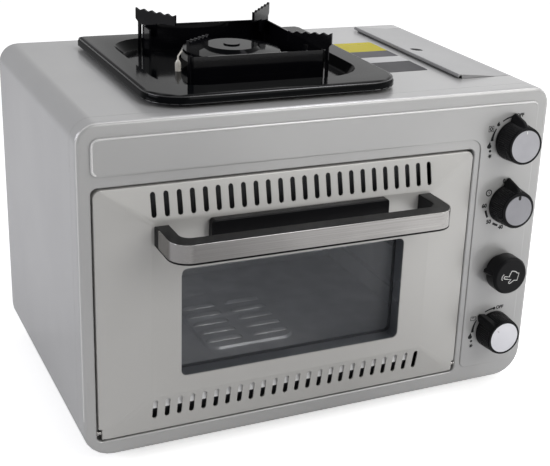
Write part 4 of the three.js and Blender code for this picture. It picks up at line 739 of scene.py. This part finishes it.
rib_tree = make_rib_tree()
for knob in ("hob", "timer", "oven"):
    centre = centre_of(f"knob_{knob}_disc")
    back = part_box(f"knob_{knob}")[1][1]
    ribs = grow(rib_tree, Count=60, Back_Radius=20.95 * MM, Front_Radius=19.5 * MM,
                Length=RIB_LENGTH * MM, Rib_Width=0.8 * MM, Rib_Height=1.1 * MM,
                Material=rib_sheen_plastic)
    placed = facing_front((centre.x, back - (RIB_START + RIB_LENGTH / 2) * MM, centre.z))
    make_piece(f"{knob}_knob_ribs", [(ribs, placed)], rib_sheen_plastic, f"{knob}_knob")

# %% [markdown]
# The floor of the oven is pressed out into low louvres that shield the burner below from
# drips. Each is a small bulge over the front of its slot, open to the back. One curved grid is
# given a sheet's thickness and copied to a grid of points that follows the slots.

# %% Floor louvres
LOUVRE_X, LOUVRE_Y, LOUVRE_SHEET = -41, 145.2, 0.8
# painted light: the louvres' steel is lighter than bare steel, for light the closed oven lacks
louvre_painted_light = finish(
    "louvre steel with painted light", mottled, (204, 205, 207), (184, 185, 188), (0.25, 0.4), 0.1, (40, 700),
    Metallic=0.4)


def make_louvre_tree():
    tree, given, leave = geometry_tree(
        "floor louvres", "Column Spacing", "Row Spacing", "Length", "Depth", "Rise", "Sheet",
        Columns="Int", Rows="Int", Material="Material")
    skin = add_node(tree, "GeometryNodeMeshGrid", {"Vertices X": 15, "Vertices Y": 6})
    place = own_place(tree)
    out = reckon(tree, "ABSOLUTE", times(tree, place["X"], 2.0))
    inside = reckon(tree, "SUBTRACT", 1.0, reckon(tree, "POWER", out, 4.0))
    ends = reckon(tree, "SQRT", reckon(tree, "MAXIMUM", inside, 0.0))
    back = reckon(tree, "ADD", place["Y"], 0.5)
    lean = reckon(tree, "SINE", times(tree, back, pi / 2))
    bulge = combine(tree, X=times(tree, place["X"], given["Length"]),
                    Y=times(tree, place["Y"], given["Depth"]),
                    Z=times(tree, times(tree, ends, lean), given["Rise"]))
    shape = grow_step(tree, "SetPosition", skin.outputs["Mesh"], {"Position": bulge})
    smooth = grow_step(tree, "SetShadeSmooth", thickened(tree, shape, given["Sheet"]))
    feeds = {"Vertices X": given["Columns"], "Vertices Y": given["Rows"]}
    for axis, count, spacing in (("X", "Columns", "Column Spacing"), ("Y", "Rows", "Row Spacing")):
        gaps = reckon(tree, "SUBTRACT", given[count], 1.0)
        feeds["Size " + axis] = times(tree, gaps, given[spacing])
    spots = add_node(tree, "GeometryNodeMeshGrid", feeds).outputs["Mesh"]
    copies = grow_step(tree, "InstanceOnPoints", spots, {"Instance": smooth})
    return deliver(tree, copies, given, leave)


louvres = grow(make_louvre_tree(), Columns=2, Rows=5, Column_Spacing=54 * MM,
               Row_Spacing=21 * MM, Length=42 * MM, Depth=5.2 * MM, Rise=3.2 * MM,
               Sheet=LOUVRE_SHEET * MM, Material=louvre_painted_light)
louvre_place = mm(LOUVRE_X, LOUVRE_Y, 0)
louvre_place.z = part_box("oven_floor_plate")[1][2] - LOUVRE_SHEET * MM
make_piece("floor_louvres", [(louvres, Matrix.Translation(louvre_place))], louvre_painted_light, "case")

# %% [markdown]
# The steel cover of the handle has a rolled edge, drawn as a stroke along the cover's own outline:
# two legs, two bends and the long front. Its steel is lighter than the cover's, a painted highlight
# for the one bright line along the edge.

# %% Rolled edge of the handle
COVER_BEND, ROLL, ROLL_INSET = 20.0, 0.55, 0.6
cover_low, cover_high = [Vector(corner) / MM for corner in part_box("handle_cover")]
# painted highlight: this edge steel is lighter than the cover's brushed steel
edge_highlight_steel = finish(
    "rolled edge with painted highlight", brushed, (232, 232, 232), (206, 206, 206), (0.12, 0.22), 0.05,
    [(5, 900, 900)], Metallic=1.0)
cover_radius = COVER_BEND - ROLL_INSET
half_cover = [(cover_low.x + ROLL_INSET, cover_high.y - ROLL)] + bend(
    cover_low.x + COVER_BEND, cover_low.y + COVER_BEND, cover_radius, 180, 90, 10)
mirror = cover_low.x + cover_high.x
other_half = [(mirror - x, y) for x, y in reversed(half_cover)]
edge_line = stroke(half_cover + other_half, 2 * ROLL, proud=ROLL)
edge_top = Matrix.Translation((0, 0, (cover_high.z - ROLL) * MM))
make_piece("handle_cover_edge", [(edge_line, edge_top)], edge_highlight_steel, "door")

# %% [markdown]
# A pale folded rail sits behind the upper half of the door's lower slots. Its pale tone is painted
# light: it stands in for the light seen in the upper half of those slots. Its section is one
# outline, pushed along the door.

# %% Rail behind the lower slots
RAIL_SECTION = [(0, 0), (1.0, 0), (1.0, 15.0), (5.0, 15.0), (5.0, 16.0), (0, 16.0)]
RAIL_SIDE, RAIL_END, RAIL_BACK, RAIL_FOOT = 44, 62, 4.6, 26.6
skin_low, skin_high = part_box("door_skin")
rail_mesh = filled(RAIL_SECTION, (skin_high[0] - skin_low[0]) / MM - RAIL_SIDE - RAIL_END)
along_door = Matrix(((0, 0, 1, 0), (1, 0, 0, 0), (0, 1, 0, 0), (0, 0, 0, 1)))
rail_place = Matrix.Translation(Vector(skin_low) + MM * Vector((RAIL_SIDE, RAIL_BACK, RAIL_FOOT)))
# painted light: the rail's pale tone stands in for light in the slots
rail_painted_light = finish(
    "folded rail", mottled, (236, 236, 236), (222, 222, 222), (0.35, 0.5), 0.1, (30, 700),
    Metallic=0.2)
make_piece("door_lower_rail", [(rail_mesh, rail_place @ along_door)], rail_painted_light, "door")

# %% [markdown]
# A raised field is pressed along the top of the front, with a fine rounded ridge where the sheet
# turns over. A stroke, sunk most of the way in, follows the field's upper and left edges and rounds
# their corners. Its paint is lighter than the body's, a painted highlight that shines as one bright
# line along the top. A finer stroke of the same paint runs up the left side of the panel's outer
# fold and over the top, a painted highlight along that fold.

# %% Ridge of the pressed field, with painted highlights
FIELD_LEFT, FIELD_RIGHT, FIELD_TOP, FIELD_LOW, FIELD_CORNER = -237, 237, 321, 284.5, 8
RIDGE_INSET, RIDGE_WIDTH, RIDGE_PROUD, RIDGE_SINK = 1.4, 2.5, 0.6, 0.12
CASE_HALF, CASE_HEIGHT, CASE_CORNER = 250, 335, 20
FOLD_FOOT, FOLD_INSET, FOLD_WIDTH = 42, 1.45, 1.4
# painted highlight: this paint is lighter than the body's
ridge_highlight_paint = finish(
    "ridge with painted highlight", mottled, (222, 222, 221), (212, 212, 211), (0.2, 0.28), 0.03,
    PAINT_SCALES, Metallic=0.25, Coat_Weight=0.5, Coat_Roughness=0.1)
left, right = FIELD_LEFT + FIELD_CORNER, FIELD_RIGHT - FIELD_CORNER
top, low, radius = FIELD_TOP - FIELD_CORNER, FIELD_LOW + FIELD_CORNER, FIELD_CORNER - RIDGE_INSET
field_edge = (bend(right, top, radius, 35, 55) + bend(left, top, radius, 90, 90)
              + bend(left, low, radius, 180, 60))
field_line = stroke(field_edge, RIDGE_WIDTH, proud=RIDGE_PROUD)
field_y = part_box("front_panel")[0][1] + RIDGE_SINK * MM
make_piece("front_field_ridge", [(field_line, facing_front((0, field_y, shift_z)))], ridge_highlight_paint,
           "case")
side, top, radius = CASE_HALF - CASE_CORNER, CASE_HEIGHT - CASE_CORNER, CASE_CORNER - FOLD_INSET
fold_edge = ([(FOLD_INSET - CASE_HALF, FOLD_FOOT)] + bend(-side, top, radius, 180, -90, 12)
             + bend(side, top, radius, 90, -60, 8))
fold_line = stroke(fold_edge, FOLD_WIDTH, proud=FOLD_WIDTH / 2)
make_piece("front_fold_bead", [(fold_line, facing_front(mm(0, FOLD_INSET, 0)))], ridge_highlight_paint,
           "case")

# %% [markdown]
# The drip pan is dipped in enamel. Two thin closed strokes run where the sheet rolls over and along
# the foot of its skirt, following the pan's outline, whose front corners are rounder than its back
# ones. They are glossier and a little lighter than the enamel, partly real beads that catch the
# lamps and partly painted sheen, and shine where the flat rim stays dark.

# %% Glaze beads of the pan, with painted sheen
PAN_FRONT, PAN_REAR, PAN_ROLL, PAN_SKIRT = (36, 10), (8, 6), 4, 3.4
ROLL_BEAD, SKIRT_BEAD, ROLL_SINK, SKIRT_INSET, SKIRT_RISE = 1.3, 1.1, 0.2, 0.45, 0.6
# painted sheen: the beads' glaze is lighter than the black enamel
glaze = finish(
    "glaze beads with painted sheen", mottled, (26, 26, 29), (16, 16, 19), (0.08, 0.18), 0.05, (30, 500),
    Specular_IOR_Level=0.9)


def rounded_outline(low, high, near, far, inset=0):
    (x0, y0), (x1, y1) = [v + inset for v in low], [v - inset for v in high]
    (front, front_steps), (rear, rear_steps) = near, far
    front, rear = front - inset, rear - inset
    return (bend(x0 + front, y0 + front, front, 180, 90, front_steps)
            + bend(x1 - front, y0 + front, front, 270, 90, front_steps)
            + bend(x1 - rear, y1 - rear, rear, 0, 90, rear_steps)
            + bend(x0 + rear, y1 - rear, rear, 90, 90, rear_steps))


def pan_bead(inset, width, height):
    outline = rounded_outline(pan_low[:2], pan_high[:2], PAN_FRONT, PAN_REAR, inset)
    return stroke(outline, width, True, width / 2), Matrix.Translation((0, 0, height))


pan_low, pan_high = [Vector(corner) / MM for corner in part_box("drip_pan")]
rolled = PAN_ROLL * (1 - cos(radians(45))) + ROLL_SINK
skirt_foot = mm(0, 0, CASE_HEIGHT + PAN_SKIRT).z
beads = [pan_bead(rolled, ROLL_BEAD, (pan_high.z - rolled) * MM),
         pan_bead(SKIRT_INSET, SKIRT_BEAD, skirt_foot + SKIRT_RISE * MM)]
make_piece("drip_pan_glaze", beads, glaze, "case")

# %% [markdown]
# A printed foil is stuck on top beside the burner, a thin plate with round corners. Its bands
# of colour come from a stepped ramp along Y, so they're sharp at any size. Each is written as
# the place where it starts and its tone.

# %% Foil on top
FOIL_X, FOIL_Y, FOIL_CORNER, FOIL_THICKNESS = (104, 157), (94, 230), (3, 5), 0.17
FOIL_BANDS = [(94, (66, 65, 69)), (136.5, (208, 208, 208)), (159.5, (84, 83, 88)),
              (186.5, (204, 190, 0))]


def make_foil_material():
    material = finish(
        "printed foil", mottled, (255, 255, 255), (244, 244, 244), (0.26, 0.36), 0.04,
        (12, 700), Specular_IOR_Level=0.04)
    tree = material.node_tree
    ends = [mm(0, y, 0).y for y in FOIL_Y]
    along = map_range(tree, split(tree, coordinates(tree))["Y"], ends)
    bands = add_node(tree, "ShaderNodeValToRGB", {"Fac": along})
    bands.color_ramp.interpolation = "CONSTANT"
    stops = bands.color_ramp.elements
    while len(stops) < len(FOIL_BANDS):
        stops.new(0.5)
    for stop, (start, tone) in zip(stops, FOIL_BANDS):
        stop.position = (start - FOIL_Y[0]) / (FOIL_Y[1] - FOIL_Y[0])
        stop.color = linear(*tone)
    base = tree.nodes["Principled BSDF"].inputs["Base Color"]
    mottle = base.links[0].from_socket
    feed(tree, base, mix_colours(tree, 1.0, mottle, bands.outputs["Color"], "MULTIPLY"))
    return material


foil_outline = rounded_outline(*zip(FOIL_X, FOIL_Y), FOIL_CORNER, FOIL_CORNER)
foil_sheet = filled(foil_outline, FOIL_THICKNESS)
top_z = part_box("outer_wrapper")[1][2]
foil_place = Matrix.Translation((0, shift_y, top_z - INK_SINK * MM))
make_piece("top_foil", [(foil_sheet, foil_place)], make_foil_material(), "case")

# %% [markdown]
# Screws hold the back panel, the base and the door's inner panel. One head is modelled with a
# cross recess. A Geometry Nodes tree puts a copy on every point of a small mesh, tips them all
# to the panel's side and spins each by a random angle from a fixed seed, because no two screws
# on a real product stop at the same angle.

# %% Screw head
HEAD_PROFILE = [(0, 1), (0.4, 0.97), (0.72, 0.8), (0.93, 0.5), (1, 0.15), (1, -0.3), (0, -0.3)]
HEAD_SIDES, ARM_SHARE, BAR_SHARE, RECESS_FLOOR = 20, 0.55, 0.14, 0.35
SPIN_SEED = 7


def make_screw_head(radius, height):
    shape = bmesh.new()
    rim = [shape.verts.new((share * radius * MM, 0, z * height * MM)) for share, z in HEAD_PROFILE]
    edges = [shape.edges.new(pair) for pair in zip(rim, rim[1:])]
    bmesh.ops.spin(shape, geom=rim + edges, cent=(0, 0, 0), axis=(0, 0, 1), angle=2 * pi,
                   steps=HEAD_SIDES, use_merge=True)
    bmesh.ops.remove_doubles(shape, verts=shape.verts, dist=TINY)
    bmesh.ops.recalc_face_normals(shape, faces=shape.faces)
    arm, bar = radius * ARM_SHARE, radius * BAR_SHARE
    quarter = [(bar, bar), (bar, arm), (-bar, arm)]
    half = quarter + [(-y, x) for x, y in quarter]
    cutter = filled(half + [(-x, -y) for x, y in half], height)
    cutter.transform(Matrix.Translation((0, 0, RECESS_FLOOR * height * MM)))
    tool = add_object("recess", cutter)
    blank = add_object("blank", as_mesh("screw head", shape))
    blank.modifiers.new("recess", "BOOLEAN").object = tool
    mesh = evaluated_mesh(blank)
    bpy.data.objects.remove(tool)
    return mesh


def make_screw_tree():
    tree, given, leave = geometry_tree("screws on a panel", Head="Object", Tilt="Vector",
                                       Material="Material")
    head = add_node(tree, "GeometryNodeObjectInfo", {"Object": given["Head"]})
    feeds = {"Instance": head.outputs["Geometry"], "Rotation": given["Tilt"]}
    place = grow_step(tree, "InstanceOnPoints", given["Geometry"], feeds)
    spin = add_node(tree, "FunctionNodeRandomValue", {3: pi, "Seed": SPIN_SEED})
    turn = combine(tree, Z=spin.outputs[1])
    turned = grow_step(tree, "RotateInstances", place, {"Rotation": turn})
    return deliver(tree, turned, given, leave)


screw_tree = make_screw_tree()
screw_head = bpy.data.objects.new("screw head", make_screw_head(3.6, 0.5))
small_head = bpy.data.objects.new("small screw head", make_screw_head(2.6, 0.9))
print("faces in one head:", len(screw_head.data.polygons))

# %% [markdown]
# The rows of screws lie on the panels' own boxes: along the edges of the back, near the corners
# of the base, and round the door's inner window.

# %% Screws
BACK_SCREWS = ((237, 62), (237, 168), (237, 262), (150, 13), (60, 322), (190, 322))
BASE_SIDE, BASE_ROWS, DOOR_SIDE, DOOR_INSET = 165, (75, 240), 150, 45
SIDES = (-1, 1)


def screw_row(name, head, places, tilt, body):
    points = bpy.data.meshes.new("places")
    points.from_pydata([tuple(place) for place in places], [], [])
    steel = finishes["plain_steel"]
    screws = grow(screw_tree, start=points, Head=head, Tilt=(radians(tilt), 0.0, 0.0),
                  Material=steel)
    make_piece(name, [(screws, Matrix.Identity(4))], steel, body)


back_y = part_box("back_panel")[1][1]
back_places = [(side * x * MM, back_y, mm(0, 0, z).z) for side in SIDES for x, z in BACK_SCREWS]
screw_row("back_screws", screw_head, back_places, -90, "case")
base_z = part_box("base_panel")[0][2]
base_places = [(side * BASE_SIDE * MM, mm(0, y, 0).y, base_z) for side in SIDES for y in BASE_ROWS]
screw_row("base_screws", small_head, base_places, 180, "case")
low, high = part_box("door_inner_panel")
middle_x = (low[0] + high[0]) / 2
door_places = [(middle_x + side * DOOR_SIDE * MM, high[1], height) for side in SIDES
               for height in (low[2] + DOOR_INSET * MM, high[2] - DOOR_INSET * MM)]
screw_row("door_screws", small_head, door_places, -90, "door")
for head in (screw_head, small_head):
    bpy.data.objects.remove(head)

# %% [markdown]
# The camera stands at the photograph's viewing angle. Its turn, place and lens were worked out
# from points on the case, and it has a small shift because the photograph is a crop. Its
# matrix is built from the viewing direction and a slight roll.

# %% Camera
IMAGE_WIDTH, IMAGE_HEIGHT, CENTRE_PIXEL = 550, 466, (353.2, 228.0)
FOCAL_PIXELS, SENSOR = 1174.9, 36.0
CAMERA_PLACE = (-489.7, -963.2, 631.5)
TURN, TILT, ROLL_LEFT = (radians(angle) for angle in (28.2, 21.34, 3.41))


def make_camera():
    level = cos(TILT)
    ahead = Vector((sin(TURN) * level, cos(TURN) * level, -sin(TILT)))
    right = ahead.cross(Vector((0, 0, 1))).normalized()
    up = right.cross(ahead)
    across = cos(ROLL_LEFT) * right + sin(ROLL_LEFT) * up
    upward = -sin(ROLL_LEFT) * right + cos(ROLL_LEFT) * up
    lens = bpy.data.cameras.new("view")
    lens.sensor_width = SENSOR
    lens.lens = SENSOR * FOCAL_PIXELS / IMAGE_WIDTH
    lens.shift_x = (IMAGE_WIDTH / 2 - CENTRE_PIXEL[0]) / IMAGE_WIDTH
    lens.shift_y = (CENTRE_PIXEL[1] - IMAGE_HEIGHT / 2) / IMAGE_WIDTH
    camera = add_object("view", lens)
    turned = Matrix((across, upward, -ahead)).transposed().to_4x4()
    camera.matrix_world = Matrix.Translation(mm(*CAMERA_PLACE)) @ turned
    bpy.context.scene.camera = camera
    print("lens", round(lens.lens, 2), "shift", round(lens.shift_x, 4), round(lens.shift_y, 4))


make_camera()

# %% [markdown]
# A studio for a pale product has wide soft lamps on the right, the left and above, and an even
# dome. Only rays that go straight to the camera, or that metal and glass throw back, see the
# dome as white, so the background is clean but the oven isn't flooded. What metal throws back
# gets greyer to the left, as beside a dark wall, which gives the top its gradient. A lamp is
# its place, the height of the spot it aims at, its size, its power and its tint.

# %% Light
LAMPS = {
    "right lamp": ((1.3, -2.0, 1.6), 0.2, (1.8, 1.5), 25, (1.0, 0.99, 0.97)),
    "left lamp": ((-2.2, 0.3, 1.0), 0.2, (1.4, 1.0), 18, (0.93, 0.93, 1.0)),
    "top lamp": ((0.8, 0.0, 2.2), 0.3, (2.0, 0.45), 13, (0.94, 0.93, 1.0)),
}
WHITE = (1, 1, 1, 1)
DOME_STRENGTH = 0.36
SKY_FADE, SKY_LEVELS = (0.0, 0.5), (0.4, 1.0)


def soft_lamp(name, place, aim, size, power, tint):
    light = bpy.data.lights.new(name, "AREA")
    light.color = tint
    light.shape = "RECTANGLE"
    light.size, light.size_y = size
    light.energy = power
    lamp = add_object(name, light)
    lamp.location = place
    way = Vector((0, 0, aim)) - Vector(place)
    lamp.rotation_euler = way.to_track_quat("-Z", "Y").to_euler()


def empty_tree(owner):
    owner.use_nodes = True
    owner.node_tree.nodes.clear()
    return owner.node_tree


def seen_rays(tree):
    path = add_node(tree, "ShaderNodeLightPath").outputs
    direct = reckon(tree, "MAXIMUM", path["Is Camera Ray"], path["Is Transmission Ray"])
    return direct, path["Is Glossy Ray"]


def background(tree, strength):
    feeds = {"Color": WHITE, "Strength": strength}
    return add_node(tree, "ShaderNodeBackground", feeds).outputs["Background"]


def make_world():
    world = bpy.data.worlds.new("studio")
    bpy.context.scene.world = world
    tree = empty_tree(world)
    direct, glossy = seen_rays(tree)
    across = split(tree, coordinates(tree, "Generated"))["X"]
    mirrored = map_range(tree, across, SKY_FADE, SKY_LEVELS, "SMOOTHSTEP")
    seen = background(tree, reckon(tree, "MAXIMUM", mirrored, direct))
    any_seen = reckon(tree, "MAXIMUM", direct, glossy)
    feeds = {0: any_seen, 1: background(tree, DOME_STRENGTH), 2: seen}
    both = add_node(tree, "ShaderNodeMixShader", feeds).outputs["Shader"]
    add_node(tree, "ShaderNodeOutputWorld", {"Surface": both})


for name, settings in LAMPS.items():
    soft_lamp(name, *settings)
make_world()

# %% [markdown]
# The floor is a pale sheet. A little glow, only for rays that are seen, lifts it to the white
# of the backdrop, while its diffuse part takes the oven's soft shadow. What metal throws back
# of it lacks that glow on the left and is greyest in the middle, as if a card lay there, so
# the steel of the handle runs from dark to bright.

# %% Floor
REACH, FLOOR_GLOW = 6.0, 0.62
FLOOR_TONE, CARD_TONE = (0.86, 0.86, 0.86, 1), (0.54, 0.54, 0.54, 1)
CARD_EDGES = ((-0.28, 0.05), (0.0, 0.42))


def make_floor():
    mesh = bpy.data.meshes.new("floor")
    corners = [(-REACH, -REACH, 0), (REACH, -REACH, 0), (REACH, REACH, 0), (-REACH, REACH, 0)]
    mesh.from_pydata(corners, [], [(0, 1, 2, 3)])
    floor = add_object("floor", mesh)
    material = bpy.data.materials.new("pale floor")
    tree = empty_tree(material)
    direct, glossy = seen_rays(tree)
    across = split(tree, coordinates(tree))["X"]
    rise, fade = [map_range(tree, across, ends, kind="SMOOTHSTEP") for ends in CARD_EDGES]
    card = times(tree, glossy, reckon(tree, "SUBTRACT", rise, fade))
    tone = mix_colours(tree, card, FLOOR_TONE, CARD_TONE)
    matt = add_node(tree, "ShaderNodeBsdfDiffuse", {"Color": tone})
    seen = reckon(tree, "MAXIMUM", direct, times(tree, glossy, fade))
    strength = times(tree, seen, FLOOR_GLOW)
    glow = add_node(tree, "ShaderNodeEmission", {"Strength": strength})
    both = add_node(tree, "ShaderNodeAddShader", {0: matt.outputs[0], 1: glow.outputs[0]})
    add_node(tree, "ShaderNodeOutputMaterial", {"Surface": both.outputs[0]})
    mesh.materials.append(material)
    print("floor:", 2 * REACH, "m wide")


make_floor()

# %% [markdown]
# Last, the colours go to the screen as they are.

# %% Finish
bpy.context.scene.view_settings.view_transform = "Standard"
